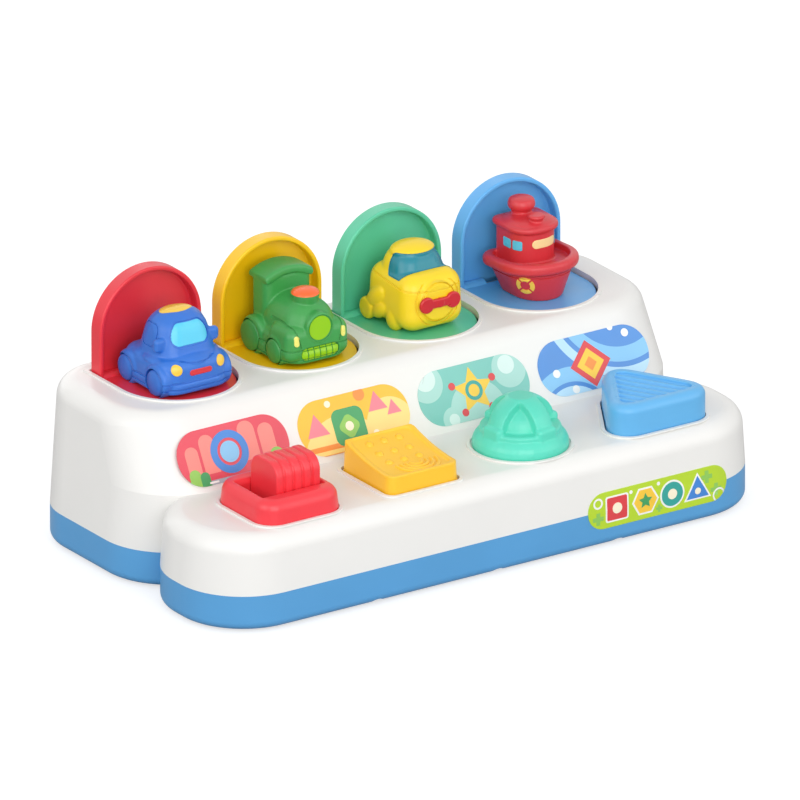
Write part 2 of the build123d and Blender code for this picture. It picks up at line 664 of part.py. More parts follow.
def base_tray():
    blocks = [extrude(Pos(0, 0, TRAY_Z) * face, TRAY_H)
              for face in (rear_lobe(0, SLOPE_FOOT_Y), front_lobe(0))]
    rear, front = [fillet(block.faces().sort_by(Axis.Z)[0].edges(), TRAY_EDGE_R) for block in blocks]
    hollow = [extrude(Pos(0, 0, FLOOR_Z) * face, TRAY_H)
              for face in (rear_lobe(WALL, SLOPE_FOOT_Y + WALL), front_lobe(WALL))]
    tray = rear + front - hollow

    tongue_in = WALL + TONGUE_GAP + TONGUE_T
    adds = [ring(WALL - FIT_GAP, tongue_in, SEAM_Z - TONGUE_ROOT, SEAM_Z),
            ring(WALL + TONGUE_GAP, tongue_in, SEAM_Z - TONGUE_ROOT, SEAM_Z + TONGUE_H)]
    adds += [post(x, y, TRAY_Z, SEAM_Z, CASE_BOSS_R) & (rear + front) for x, y in post_places()]
    adds += [post(x, BRIDGE_Y, FLOOR_Z, BAR_TOP_Z + BAR_GAP, BRIDGE_POST_R) for x in bridge_posts()]
    for x in UNITS:
        bar = x + BAR_X
        spring = bar + BAR_SPRING_X
        adds += [bar_guide(bar, BRIDGE_Y), bar_guide(bar, ROW_Y + GUIDE_REAR_Y),
                 box(x - LEAF_W / 2, x + LEAF_W / 2, LEAF_FRONT_Y, LEAF_FRONT_Y + LEAF_BOSS,
                     FLOOR_Z, LEAF_Z - LEAF_T),
                 box(bar + BAR_W / 2 + BAR_GAP, spring + BAR_SPRING_R + BAR_SPRING_WIRE,
                     SPRING_SEAT_Y - SPRING_SEAT_T, SPRING_SEAT_Y, FLOOR_Z, BAR_TOP_Z)]

    seat_z = SEAM_Z - SCREW_SEAT
    cuts = []
    for x, y in post_places():
        cuts += [post(x, y, 0, SEAM_Z + TONGUE_H, CASE_SCREW_R + FIT_GAP),
                 post(x, y, 0, seat_z, CASE_SCREW_HEAD_R + SLIDE_GAP)]
    cuts += [post(x, y, 0, TRAY_Z + FOOT_SEAT, FOOT_R + FIT_GAP) for x, y in foot_places()]
    cuts += [post(x, BRIDGE_Y, BAR_TOP_Z - BRIDGE_SCREW_GRIP - HOLE_SPARE, BAR_TOP_Z + BAR_GAP,
                  SCREW_R + FIT_GAP) for x in bridge_posts()]
    cuts += [post(x, LEAF_SCREW_Y, LEAF_Z - LEAF_T - LEAF_SCREW_GRIP - HOLE_SPARE, LEAF_Z,
                  SCREW_R + FIT_GAP) for x in UNITS]
    cuts += [pipe_y(x, FRONT_Y - NOTCH_R, FRONT_Y + TRAY_EDGE_R, TRAY_Z + NOTCH_D - NOTCH_R, NOTCH_R)
             for x in RIB_XS[1:-1]]
    return tray + adds - cuts


def feet():
    pads = [post(x, y, 0, TRAY_Z + FOOT_SEAT, FOOT_R) for x, y in foot_places()]
    return [fillet(pad.faces().sort_by(Axis.Z)[0].edges(), FOOT_H / 3) for pad in pads]


def case_screws():
    grip = SCREW_SEAT + CASE_SCREW_GRIP
    return [screw(x, y, SEAM_Z - SCREW_SEAT, grip, True, CASE_SCREW_R, CASE_SCREW_HEAD_R, CASE_SCREW_HEAD_H)
            for x, y in post_places()]


# Door hinge
def hinge_keepers():
    keepers = []
    for x in RIB_XS:
        x0, x1 = x - RIB_W / 2, x + RIB_W / 2
        foot_z = HINGE_Z - RIB_DROP
        plate = box(x0, x1, HINGE_Y - RIB_DEPTH / 2, HINGE_Y + RIB_DEPTH / 2, foot_z - KEEPER_T, foot_z)
        plate += box(x0, x1, HINGE_Y - ROD_R, HINGE_Y + ROD_R, foot_z, HINGE_Z - ROD_R - FIT_GAP)
        holes = [post(x, y, foot_z - KEEPER_T, foot_z, SCREW_R + FIT_GAP) for y in keeper_screw_ys()]
        keepers.append(plate - holes)
    return keepers


def keeper_screws():
    seat_z = HINGE_Z - RIB_DROP - KEEPER_T
    return [screw(x, y, seat_z, KEEPER_T + RIB_DROP, True) for x in RIB_XS for y in keeper_screw_ys()]


def coil(radius, wire, pitch, turns):
    path = Helix(pitch, pitch * turns, radius)
    return sweep(Plane(path @ 0, z_dir=path % 0) * Circle(wire / 2), path=path, is_frenet=True)


def door_spring(x):
    length = DOOR_SPRING_PITCH * DOOR_SPRING_TURNS
    turns = coil(DOOR_SPRING_R, DOOR_SPRING_WIRE, DOOR_SPRING_PITCH, DOOR_SPRING_TURNS)
    start = x - length / 2
    spring = Pos(start, HINGE_Y, HINGE_Z) * Rot(0, 90, 0) * turns
    low_z = HINGE_Z - DOOR_SPRING_R
    wire = DOOR_SPRING_WIRE / 2 + FIT_GAP
    spring += pipe_y(start, HINGE_Y - DOOR_SPRING_LEG, HINGE_Y + wire, low_z, wire)
    return spring + pipe_y(start + length, HINGE_Y - wire, HINGE_Y + DOOR_SPRING_LEG, low_z, wire)


# Pop-up doors
def figure_screw_y():
    return HINGE_Y - FIGURE_BACK - FIGURE_SCREW_Y


def door():
    half = DOOR_W / 2
    lid = lid_plane(HINGE_Y + LID_BACK) * extrude(door_shape(half, LID_LEN), LID_T)
    lid -= lid_plane(HINGE_Y + LID_BACK - LID_T + LID_RECESS) * extrude(
        door_shape(half - LID_RIM, LID_LEN - LID_RIM), LID_RECESS)
    lid = fillet([e for e in lid.edges() if e.center().Z > HINGE_Z + FLOOR_TOP], DOOR_EDGE_R)
    floor_top = HINGE_Z + FLOOR_TOP
    floor = floor_plane(floor_top) * extrude(door_shape(half, LID_LEN), FLOOR_T)
    floor = fillet(floor.faces().sort_by(Axis.Z)[-1].edges().sort_by(Axis.Y)[:3], DOOR_EDGE_R)
    tip_y = HINGE_Y - LID_LEN
    hook = box(-HOOK_W / 2, HOOK_W / 2, tip_y - HOOK_REACH, tip_y + HOOK_ROOT,
               HINGE_Z - HOOK_DROP, HINGE_Z + HOOK_TOP)
    end = half - KNUCKLE_END
    knuckles = [axle(-end, -end + KNUCKLE_LEN, HINGE_Y, HINGE_Z, KNUCKLE_R),
                axle(end - KNUCKLE_LEN, end, HINGE_Y, HINGE_Z, KNUCKLE_R)]
    pad_z = HINGE_Z - DOOR_SPRING_R + DOOR_SPRING_WIRE / 2 + SLIDE_GAP
    pad = box(-SPRING_STOP_W / 2, SPRING_STOP_W / 2, HINGE_Y - DOOR_SPRING_LEG,
              HINGE_Y - DOOR_SPRING_LEG + SPRING_STOP_T, pad_z, HINGE_Z)
    body = lid + floor + hook + knuckles + pad
    pocket_half = end - KNUCKLE_LEN
    screws = [post(x, figure_screw_y(), HINGE_Z - HOOK_DROP, floor_top, SCREW_R + FIT_GAP)
              for x in (-FIGURE_SCREW_X, FIGURE_SCREW_X)]
    return body - [axle(-half, half, HINGE_Y, HINGE_Z, ROD_R + ROD_RUN_GAP),
                   axle(-pocket_half, pocket_half, HINGE_Y, HINGE_Z, SPRING_POCKET_R)] - screws


def figure_screws(x):
    seat_z = HINGE_Z + FLOOR_TOP - FLOOR_T
    return [screw(x + side * FIGURE_SCREW_X, figure_screw_y(), seat_z, FLOOR_T + FIGURE_SCREW_GRIP, True)
            for side in (-1, 1)]


# Catches
def catch_leaf(x):
    barb_z = HOOK_LOW_Z + BARB_OVER_HOOK
    arm = box(x - LEAF_W / 2, x + LEAF_W / 2, LEAF_FRONT_Y, BARB_BACK_Y, LEAF_Z - LEAF_T, LEAF_Z)
    barb = side_profile([(BARB_BACK_Y - BARB_L, LEAF_Z), (BARB_BACK_Y, barb_z), (BARB_BACK_Y, LEAF_Z)],
                        x - HOOK_W / 2, x + HOOK_W / 2)
    ear_x = x + LEAF_W / 2
    ear = box(ear_x - FIT_GAP, ear_x + LEAF_EAR, RIDGE_Y - RIDGE_H, RIDGE_Y + RIDGE_H,
              LEAF_Z - LEAF_T, LEAF_Z)
    ridge = side_profile([(RIDGE_Y - RIDGE_H, LEAF_Z), (RIDGE_Y, LEAF_Z + RIDGE_H),
                          (RIDGE_Y + RIDGE_H, LEAF_Z)], ear_x, ear_x + LEAF_EAR)
    hole = post(x, LEAF_SCREW_Y, LEAF_Z - LEAF_T, LEAF_Z, SCREW_R + FIT_GAP)
    return arm + barb + ear + ridge - hole


# Release bars
def release_bar(x, front_y):
    bar = x + BAR_X
    x0, x1 = bar - BAR_W / 2, bar + BAR_W / 2
    body = box(x0, x1, front_y, BAR_BACK_Y, BAR_Z, BAR_TOP_Z)
    lug_low, lug_high = LEAF_Z + LUG_LIFT, LEAF_Z + LUG_TOP
    upright = box(x + LUG_X, x1, LUG_Y, BAR_BACK_Y, lug_low, lug_high)
    upright += box(bar + BAR_W / 2 - LUG_STEM, x1, LUG_Y, BAR_BACK_Y, BAR_Z, lug_high)
    nose = side_profile([(LUG_Y - FIT_GAP, lug_low - FIT_GAP), (LUG_Y - FIT_GAP, lug_low + LUG_FACE),
                         (LUG_Y + LUG_FACE, lug_low - FIT_GAP)], x + LUG_X - FIT_GAP, x1 - LUG_STEM)
    spring_y = SPRING_SEAT_Y + BAR_SPRING_LEN
    stop = box(bar, bar + BAR_SPRING_X + BAR_SPRING_R + BAR_SPRING_WIRE, spring_y,
               spring_y + SPRING_SEAT_T, BAR_Z, BAR_TOP_Z)
    return body + stop + (upright - nose)


def release_spring(x):
    pitch = (BAR_SPRING_LEN - BAR_SPRING_WIRE) / BAR_SPRING_TURNS
    turns = coil(BAR_SPRING_R, BAR_SPRING_WIRE, pitch, BAR_SPRING_TURNS)
    place = Pos(x + BAR_X + BAR_SPRING_X, SPRING_SEAT_Y + BAR_SPRING_WIRE / 2, BAR_Z + BAR_H / 2)
    return place * Rot(-90, 0, 0) * turns


def release_bridge():
    xs = bridge_posts()
    low_z = BAR_TOP_Z + BAR_GAP
    strap = box(xs[0] - BRIDGE_END, xs[-1] + BRIDGE_END, BRIDGE_Y - BRIDGE_L / 2, BRIDGE_Y + BRIDGE_L / 2,
                low_z, low_z + BRIDGE_T)
    return strap - [post(x, BRIDGE_Y, low_z, low_z + BRIDGE_T, SCREW_R + FIT_GAP) for x in xs]


# Red sliding block
def slide_frame():
    frame = extrude(Pos(0, 0, FRONT_DECK_Z) * frame_seat(0), FRAME_H, taper=FRAME_DRAFT_DEG)
    frame = fillet(frame.faces().sort_by(Axis.Z)[-1].edges(), FRAME_EDGE_R)
    half_x = (BLOCK_L + SLIDE_TRAVEL) / 2 + SLIDE_GAP
    half_y = BLOCK_W / 2 + SLIDE_GAP
    slot = box(RED_X - half_x, RED_X + half_x, ROW_Y - half_y, ROW_Y + half_y,
               FRONT_DECK_Z, FRONT_DECK_Z + FRAME_H)
    frame -= slot
    frame = fillet(frame.faces().sort_by(Axis.Z)[-1].inner_wires()[0].edges(), FRAME_MOUTH_R)
    return frame - [post(RED_X, y, FRONT_DECK_Z, FRONT_DECK_Z + FRAME_SCREW_GRIP + HOLE_SPARE,
                         SCREW_R + FIT_GAP) for y in frame_screw_ys()]


def frame_screws():
    return [screw(RED_X, y, DECK_UNDER_Z, WALL + FRAME_SCREW_GRIP, True) for y in frame_screw_ys()]


def arch(shrink):
    face = Pos(0, (BLOCK_H - shrink) / 2) * Rectangle(BLOCK_W - 2 * shrink, BLOCK_H - shrink)
    return fillet(face.vertices().group_by(Axis.Y)[-1], BLOCK_ARCH_R - shrink)


def slide_block():
    low_z = FRONT_DECK_Z + BLOCK_LIFT
    x0 = RED_X + SLIDE_TRAVEL / 2 - BLOCK_L / 2
    section = Plane(origin=(x0, ROW_Y, low_z), x_dir=(0, 1, 0), z_dir=(1, 0, 0))
    block = extrude(section * arch(0), BLOCK_L)
    ends = block.edges().filter_by(Axis.X, reverse=True)
    block = fillet([e for e in ends if e.center().Z > low_z], BLOCK_EDGE_R)
    pitch = (BLOCK_L - 2 * BLOCK_EDGE_R) / BLOCK_RIBS
    band = arch(0) - arch(BLOCK_GROOVE_D)
    for i in range(1, BLOCK_RIBS):
        at = x0 + BLOCK_EDGE_R + i * pitch - BLOCK_GROOVE_W / 2
        block -= extrude(section.offset(at - x0) * band, BLOCK_GROOVE_W)
    neck_x = RED_X - NECK_BACK
    block += box(neck_x, neck_x + NECK_L, ROW_Y - NECK_W / 2, ROW_Y + NECK_W / 2,
                 DECK_UNDER_Z - DECK_SLACK, low_z)
    return block - [post(x, ROW_Y, DECK_UNDER_Z - DECK_SLACK, low_z + HOLE_SPARE, SCREW_R + FIT_GAP)
                    for x in slide_screw_xs()]


def slide_screw_xs():
    middle = RED_X - NECK_BACK + NECK_L / 2
    return [middle - NECK_L / 4, middle + NECK_L / 4]


def slide_foot():
    top_z = DECK_UNDER_Z - DECK_SLACK
    x0 = RED_X - NECK_BACK - SLIDE_FOOT_END
    y0 = ROW_Y - SLIDE_TRAVEL - SLIDE_FOOT_END
    foot = box(x0, x0 + SLIDE_FOOT_L, y0, y0 + SLIDE_FOOT_W, top_z - SLIDE_FOOT_T, top_z)
    slot = SlotCenterToCenter(SLIDE_TRAVEL * sqrt(2), 2 * (PEG_R + PEG_GAP))
    middle = Pos(RED_X + BAR_X + SLIDE_TRAVEL / 2, ROW_Y - SLIDE_TRAVEL / 2, top_z) * Rot(0, 0, -45)
    foot -= extrude(middle * slot, -SLIDE_FOOT_T)
    return foot - [post(x, ROW_Y, top_z - SLIDE_FOOT_T, top_z, SCREW_R + FIT_GAP) for x in slide_screw_xs()]


def slide_screws():
    seat_z = DECK_UNDER_Z - DECK_SLACK - SLIDE_FOOT_T
    grip = FRONT_DECK_Z + BLOCK_LIFT - seat_z
    return [screw(x, ROW_Y, seat_z, grip, True) for x in slide_screw_xs()]


def slide_bar():
    x = RED_X + BAR_X
    body = release_bar(RED_X, ROW_Y - POST_L / 2)
    body += box(x - BAR_W / 2, x + BAR_W / 2, ROW_Y - POST_L / 2, ROW_Y + POST_L / 2,
                BAR_Z, PEG_TOP_Z - PEG_LEN)
    return body + post(x, ROW_Y, PEG_TOP_Z - PEG_LEN, PEG_TOP_Z, PEG_R)


# Yellow rocker key
def key_top(y):
    along = (y - KEY_FRONT_Y) / (KEY_L - KEY_LEAN)
    straight = KEY_FRONT_H + (KEY_BACK_H - KEY_FRONT_H) * along
    sag = (KEY_FRONT_H + KEY_BACK_H) / 2 - KEY_MID_H
    return FRONT_DECK_Z + straight - 4 * sag * along * (1 - along)


def rocker_key():
    low_z = KEY_AXIS_Z - KEY_SKIRT
    back_y = KEY_FRONT_Y + KEY_L
    middle_y = KEY_FRONT_Y + (KEY_L - KEY_LEAN) / 2
    front_top = (0, KEY_FRONT_Y, FRONT_DECK_Z + KEY_FRONT_H)
    back_top = (0, back_y - KEY_LEAN, FRONT_DECK_Z + KEY_BACK_H)
    outline = Polyline(back_top, (0, back_y, FRONT_DECK_Z), (0, back_y, low_z), (0, KEY_FRONT_Y, low_z),
                       front_top)
    outline += ThreePointArc(front_top, (0, middle_y, FRONT_DECK_Z + KEY_MID_H), back_top)
    half = KEY_W / 2
    key = extrude(Pos(YELLOW_X - half, 0, 0) * make_face(outline), KEY_W, dir=(1, 0, 0))
    walls = [e for e in key.edges() if e.length > KEY_FRONT_H and abs(e.tangent_at(0.5).Z) > 0.9]
    key = fillet(walls, KEY_CORNER_R)
    top = [f for f in key.faces() if f.center().Z > FRONT_DECK_Z + KEY_FRONT_H and f.normal_at().Z > 0.5]
    key = fillet(top[0].edges(), KEY_EDGE_R)
    key -= box(YELLOW_X - half + KEY_WALL, YELLOW_X + half - KEY_WALL,
               KEY_FRONT_Y + 2 * KEY_AXIS_IN + KEY_WALL, back_y - KEY_WALL,
               low_z, FRONT_DECK_Z + KEY_MID_H - 2 * KEY_WALL)
    dots = []
    for i in (-1, 0, 1):
        for j in (0, 1, 2):
            y = middle_y + (j - KEY_DOT_SHIFT) * KEY_DOT_PITCH
            x = YELLOW_X + i * KEY_DOT_PITCH
            dots.append(post(x, y, key_top(y) - KEY_WALL, key_top(y) + KEY_DOT_H, KEY_DOT_R))
    x = YELLOW_X + BAR_X
    nose_z = BAR_TOP_Z + FINGER_TIP
    finger = box(x - FINGER_W / 2, x + FINGER_W / 2, KEY_AXIS_Y - FINGER_T / 2, KEY_AXIS_Y + FINGER_T / 2,
                 nose_z, KEY_AXIS_Z)
    nose = axle(x - FINGER_W / 2, x + FINGER_W / 2, KEY_AXIS_Y, nose_z, FINGER_NOSE_R)
    bore = axle(YELLOW_X - KEY_W, YELLOW_X + KEY_W, KEY_AXIS_Y, KEY_AXIS_Z, KEY_PIN_R + ROD_RUN_GAP)
    return key + dots + finger + nose - bore


def rocker_pin():
    half = KEY_W / 2 + KEY_GAP + KEY_PIN_END
    return axle(YELLOW_X - half, YELLOW_X + half, KEY_AXIS_Y, KEY_AXIS_Z, KEY_PIN_R)


def key_bar():
    x = YELLOW_X + BAR_X
    clear = FINGER_NOSE_R + BAR_GAP
    body = release_bar(YELLOW_X, KEY_AXIS_Y - clear - FORK_T)
    for y0 in (KEY_AXIS_Y - clear - FORK_T, KEY_AXIS_Y + clear):
        body += box(x - BAR_W / 2, x + BAR_W / 2, y0, y0 + FORK_T, BAR_Z, BAR_TOP_Z + FORK_H)
    return body


# Green twist knob
def dome(shrink, low_z):
    r = KNOB_DOME_R - shrink
    high_z = KNOB_H - shrink
    bend_z = KNOB_SHOULDER_H + KNOB_SHOULDER_STEP
    top_r = KNOB_TOP_R
    mid_r = (r + top_r) / 2 + (r - top_r) * KNOB_BULGE
    mid_z = (bend_z + high_z) / 2 + (high_z - bend_z) * KNOB_BULGE
    edge = Polyline((top_r, 0, high_z), (0, 0, high_z), (0, 0, low_z), (r, 0, low_z), (r, 0, bend_z))
    edge += ThreePointArc((r, 0, bend_z), (mid_r, 0, mid_z), (top_r, 0, high_z))
    return revolve(make_face(edge), Axis.Z)


def twist_knob():
    r = KNOB_R
    skirt = Polyline((KNOB_SHOULDER_R, 0, KNOB_SHOULDER_H), (0, 0, KNOB_SHOULDER_H), (0, 0, KNOB_LIFT),
                     (r, 0, KNOB_LIFT), (r, 0, KNOB_SKIRT_H))
    skirt += ThreePointArc((r, 0, KNOB_SKIRT_H),
                           ((r + KNOB_SHOULDER_R) / 2 + KNOB_SKIRT_BULGE, 0,
                            (KNOB_SKIRT_H + KNOB_SHOULDER_H) / 2 + KNOB_SKIRT_BULGE),
                           (KNOB_SHOULDER_R, 0, KNOB_SHOULDER_H))
    knob = revolve(make_face(skirt), Axis.Z)
    full = dome(0, KNOB_LIFT)
    wide = 2 * KNOB_R
    band = Pos(0, 0, KNOB_H / 2) * Box(KNOB_BAND_W, wide, KNOB_H)
    cross = [Rot(0, 0, KNOB_REST_DEG + turn) * band for turn in (0, 90)]
    ring_z = KNOB_SHOULDER_H + KNOB_SHOULDER_STEP
    belt = post(0, 0, 0, ring_z, KNOB_R)
    crown = post(0, 0, 0, KNOB_H, KNOB_TOP_R + KNOB_CROWN)
    bands = full & (cross[0] + cross[1] + belt + crown)
    knob += dome(KNOB_RECESS, KNOB_LIFT) + bands
    stem_z = DECK_UNDER_Z - DECK_SLACK - FRONT_DECK_Z
    knob += post(0, 0, stem_z, KNOB_LIFT, KNOB_STEM_R)
    knob -= post(0, 0, stem_z, stem_z + CRANK_SCREW_GRIP + HOLE_SPARE, SCREW_R + FIT_GAP)
    return Pos(GREEN_X, ROW_Y, FRONT_DECK_Z) * knob


def knob_crank():
    top_z = DECK_UNDER_Z - DECK_SLACK
    low_z = top_z - CRANK_T
    crank = post(GREEN_X, ROW_Y, low_z, top_z, CRANK_R)
    crank += post(GREEN_X + BAR_X, ROW_Y + KNOB_PEG_Y, low_z - CRANK_PEG_LEN, low_z, PEG_R)
    return crank - post(GREEN_X, ROW_Y, low_z, top_z, SCREW_R + FIT_GAP)


def crank_screw():
    return screw(GREEN_X, ROW_Y, DECK_UNDER_Z - DECK_SLACK - CRANK_T, CRANK_T + CRANK_SCREW_GRIP, True)


def knob_bar():
    x, y = GREEN_X + BAR_X, ROW_Y + KNOB_PEG_Y
    peg_low_z = DECK_UNDER_Z - DECK_SLACK - CRANK_T - CRANK_PEG_LEN
    head_low, head_high = peg_low_z - PEG_GAP - POST_CAP, peg_low_z + PEG_LEN
    reach = PEG_R + PEG_GAP
    sway = KNOB_PEG_R - BAR_X
    body = release_bar(GREEN_X, y - POST_L / 2)
    body += box(x - BAR_W / 2, x + BAR_W / 2, y - POST_L / 2, y + POST_L / 2, BAR_Z, head_low)
    head = box(x - reach - POST_CAP, x + sway + reach + POST_CAP, y - reach - POST_CAP, y + reach + POST_CAP,
               head_low, head_high)
    head -= box(x - reach, x + sway + reach, y - reach, y + reach, peg_low_z - PEG_GAP, head_high)
    return body + head


# Blue push button
def push_button():
    low_z = DECK_UNDER_Z - DECK_SLACK - FRONT_DECK_Z
    body = extrude(Pos(0, 0, low_z) * triangle(0), BUTTON_H - low_z)
    body = fillet(body.faces().sort_by(Axis.Z)[-1].edges(), BUTTON_EDGE_R)
    pocket = triangle(-BUTTON_RIM)
    floor_z = BUTTON_H - BUTTON_RECESS
    body -= extrude(Pos(0, 0, floor_z) * pocket, BUTTON_RECESS)
    step = (BUTTON_SIDE * sqrt(3) / 2 + 2 * (BUTTON_CORNER_R - BUTTON_RIM)) / (BUTTON_RIBS + 1)
    start = -BUTTON_SIDE / (2 * sqrt(3)) - (BUTTON_CORNER_R - BUTTON_RIM)
    inner = extrude(Pos(0, 0, floor_z - FIT_GAP) * pocket, BUTTON_RIB_H + FIT_GAP)
    for i in range(1, BUTTON_RIBS + 1):
        rib = Pos(0, start + i * step, floor_z) * Box(2 * BUTTON_SIDE, BUTTON_RIB_W, 2 * BUTTON_RIB_H)
        body += (Pos(BLUE_X, ROW_Y - BUTTON_LEAD, 0) * Rot(0, 0, 120) * rib) & inner
    body -= extrude(Pos(0, 0, low_z) * triangle(-BUTTON_WALL), floor_z - BUTTON_WALL - low_z)
    for x in button_screw_xs():
        body += post(x, BUTTON_SCREW_Y, low_z, floor_z - BUTTON_WALL / 2, BUTTON_BOSS_R)
        body -= post(x, BUTTON_SCREW_Y, low_z, low_z + BUTTON_SCREW_GRIP + HOLE_SPARE, SCREW_R + FIT_GAP)
    return Pos(0, 0, FRONT_DECK_Z) * body


def button_screw_xs():
    return [BLUE_X - BUTTON_SCREW_X, BLUE_X + BUTTON_SCREW_X]


def button_foot():
    top_z = DECK_UNDER_Z - DECK_SLACK
    low_z = top_z - BUTTON_FOOT_T
    half = BUTTON_SIDE / 2 + BUTTON_CORNER_R + BUTTON_GAP + BUTTON_FOOT_EXTRA
    foot = box(BLUE_X - half, BLUE_X + half, BUTTON_SCREW_Y - BUTTON_FOOT_L / 2,
               BUTTON_SCREW_Y + BUTTON_FOOT_L / 2, low_z, top_z)
    x0, x1 = BLUE_X + BAR_X - BAR_W / 2, BLUE_X + BAR_X + BAR_W / 2
    back_y = ROW_Y + BLADE_BACK
    front_y = back_y - BLADE_L
    foot += box(x0, x1, BUTTON_SCREW_Y, back_y, low_z, top_z)
    blade = [(front_y, low_z), (front_y, low_z - BLADE_DROP + BLADE_REACH),
             (front_y + BLADE_REACH, low_z - BLADE_DROP), (back_y, low_z - BLADE_DROP), (back_y, low_z)]
    foot += side_profile(blade, x0, x1)
    return foot - [post(x, BUTTON_SCREW_Y, low_z, top_z, SCREW_R + FIT_GAP) for x in button_screw_xs()]


def button_screws():
    seat_z = DECK_UNDER_Z - DECK_SLACK - BUTTON_FOOT_T
    return [screw(x, BUTTON_SCREW_Y, seat_z, BUTTON_FOOT_T + BUTTON_SCREW_GRIP, True)
            for x in button_screw_xs()]


def button_bar():
    x = BLUE_X + BAR_X
    blade_front = ROW_Y + BLADE_BACK - BLADE_L
    blade_low = DECK_UNDER_Z - DECK_SLACK - BUTTON_FOOT_T - BLADE_DROP
    ramp_sum = blade_front + BLADE_REACH + blade_low - RAMP_GAP * sqrt(2)
    back_y = blade_front + BLADE_REACH / 2
    front_y = back_y - BUTTON_TRAVEL - RAMP_SPARE
    high_z = blade_low + RAMP_RISE
    body = release_bar(BLUE_X, front_y)
    ramp = [(front_y, BAR_Z), (front_y, high_z), (ramp_sum - high_z, high_z),
            (back_y, ramp_sum - back_y), (back_y, BAR_Z)]
    return body + side_profile(ramp, x - BAR_W / 2, x + BAR_W / 2)


# Labels
def panel_label(x):
    lean = Vector(0, -1, SLOPE_RATE).normalized()
    mid_z = (FRONT_DECK_Z + REAR_DECK_Z) / 2
    plane = Plane(origin=(x, slope_y(mid_z, 0), mid_z), x_dir=(1, 0, 0), z_dir=lean)
    face = Pos(0, -PANEL_LABEL_DROP) * RectangleRounded(PANEL_LABEL_L, PANEL_LABEL_H, PANEL_LABEL_R)
    return plane * extrude(face, LABEL_T)


def front_label():
    pill = RectangleRounded(FRONT_LABEL_L, FRONT_LABEL_H, FRONT_LABEL_H / 2 - FIT_GAP)
    plane = Plane(origin=(FRONT_LABEL_X, FRONT_Y + FRONT_CORNER_R, SEAM_Z + FRONT_LABEL_RISE),
                  x_dir=(1, 0, 0), z_dir=(0, -1, 0))
    prism = extrude(plane * pill, FRONT_CORNER_R + WALL)
    low = extrude(Pos(0, 0, TRAY_Z) * front_lobe(-LABEL_T), TRAY_H)
    low -= extrude(Pos(0, 0, TRAY_Z) * front_lobe(0), TRAY_H)
    levels = (SEAM_Z, FRONT_DECK_Z - SHELL_EDGE_R)
    high = loft([Pos(0, 0, z) * front_lobe(draft_at(z) - LABEL_T) for z in levels], ruled=True)
    high -= loft([Pos(0, 0, z) * front_lobe(draft_at(z)) for z in levels], ruled=True)
    return prism & (low + high)


# Vehicle figures, each facing forward and standing on the door's floor
def soft_box(w, l, h, z0, r, y=0.0, x=0.0):
    block = Pos(x, y, z0 + h / 2) * Box(w, l, h)
    return fillet(block.edges(), r)


def wheels(width, y, r, t):
    return [axle(x - t / 2, x + t / 2, y, r, r) for x in ((t - width) / 2, (width - t) / 2)]


def rounded_body(outline, z0, h, r):
    body = extrude(Pos(0, 0, z0) * outline, h)
    return fillet(body.faces().sort_by(Axis.Z)[-1].edges(), r)


def car_outline(shrink):
    half = CAR_W / 2 - WHEEL_PROUD - shrink
    end = CAR_L / 2 - shrink
    return lobe(half, -end, end, CAR_NOSE_R - shrink, CAR_TAIL_R - shrink)


def car():
    body = rounded_body(car_outline(CAR_BUMPER_IN), CAR_GROUND, CAR_BODY_H, CAR_BODY_R)
    bumper = extrude(Pos(0, 0, CAR_BUMPER_Z) * car_outline(0), CAR_BUMPER_H)
    cabin_z = CAR_GROUND + CAR_BODY_H / 2
    cabin = soft_box(CAR_CABIN_W, CAR_CABIN_L, CAR_H - cabin_z, cabin_z, CAR_CABIN_R, y=-CAR_CABIN_AHEAD)
    rolling = wheels(CAR_W, CAR_WHEEL_BACK - CAR_WHEEL_BASE / 2, CAR_WHEEL_R, CAR_WHEEL_T)
    rolling += wheels(CAR_W, CAR_WHEEL_BACK + CAR_WHEEL_BASE / 2, CAR_WHEEL_R, CAR_WHEEL_T)
    lamp_y = CAR_LAMP_IN - CAR_L / 2
    lamps = [pipe_y(x, lamp_y, lamp_y + CAR_LAMP_T, CAR_LAMP_Z, CAR_LAMP_R)
             for x in (-CAR_LAMP_X, CAR_LAMP_X)]
    return body + bumper + cabin + rolling + lamps


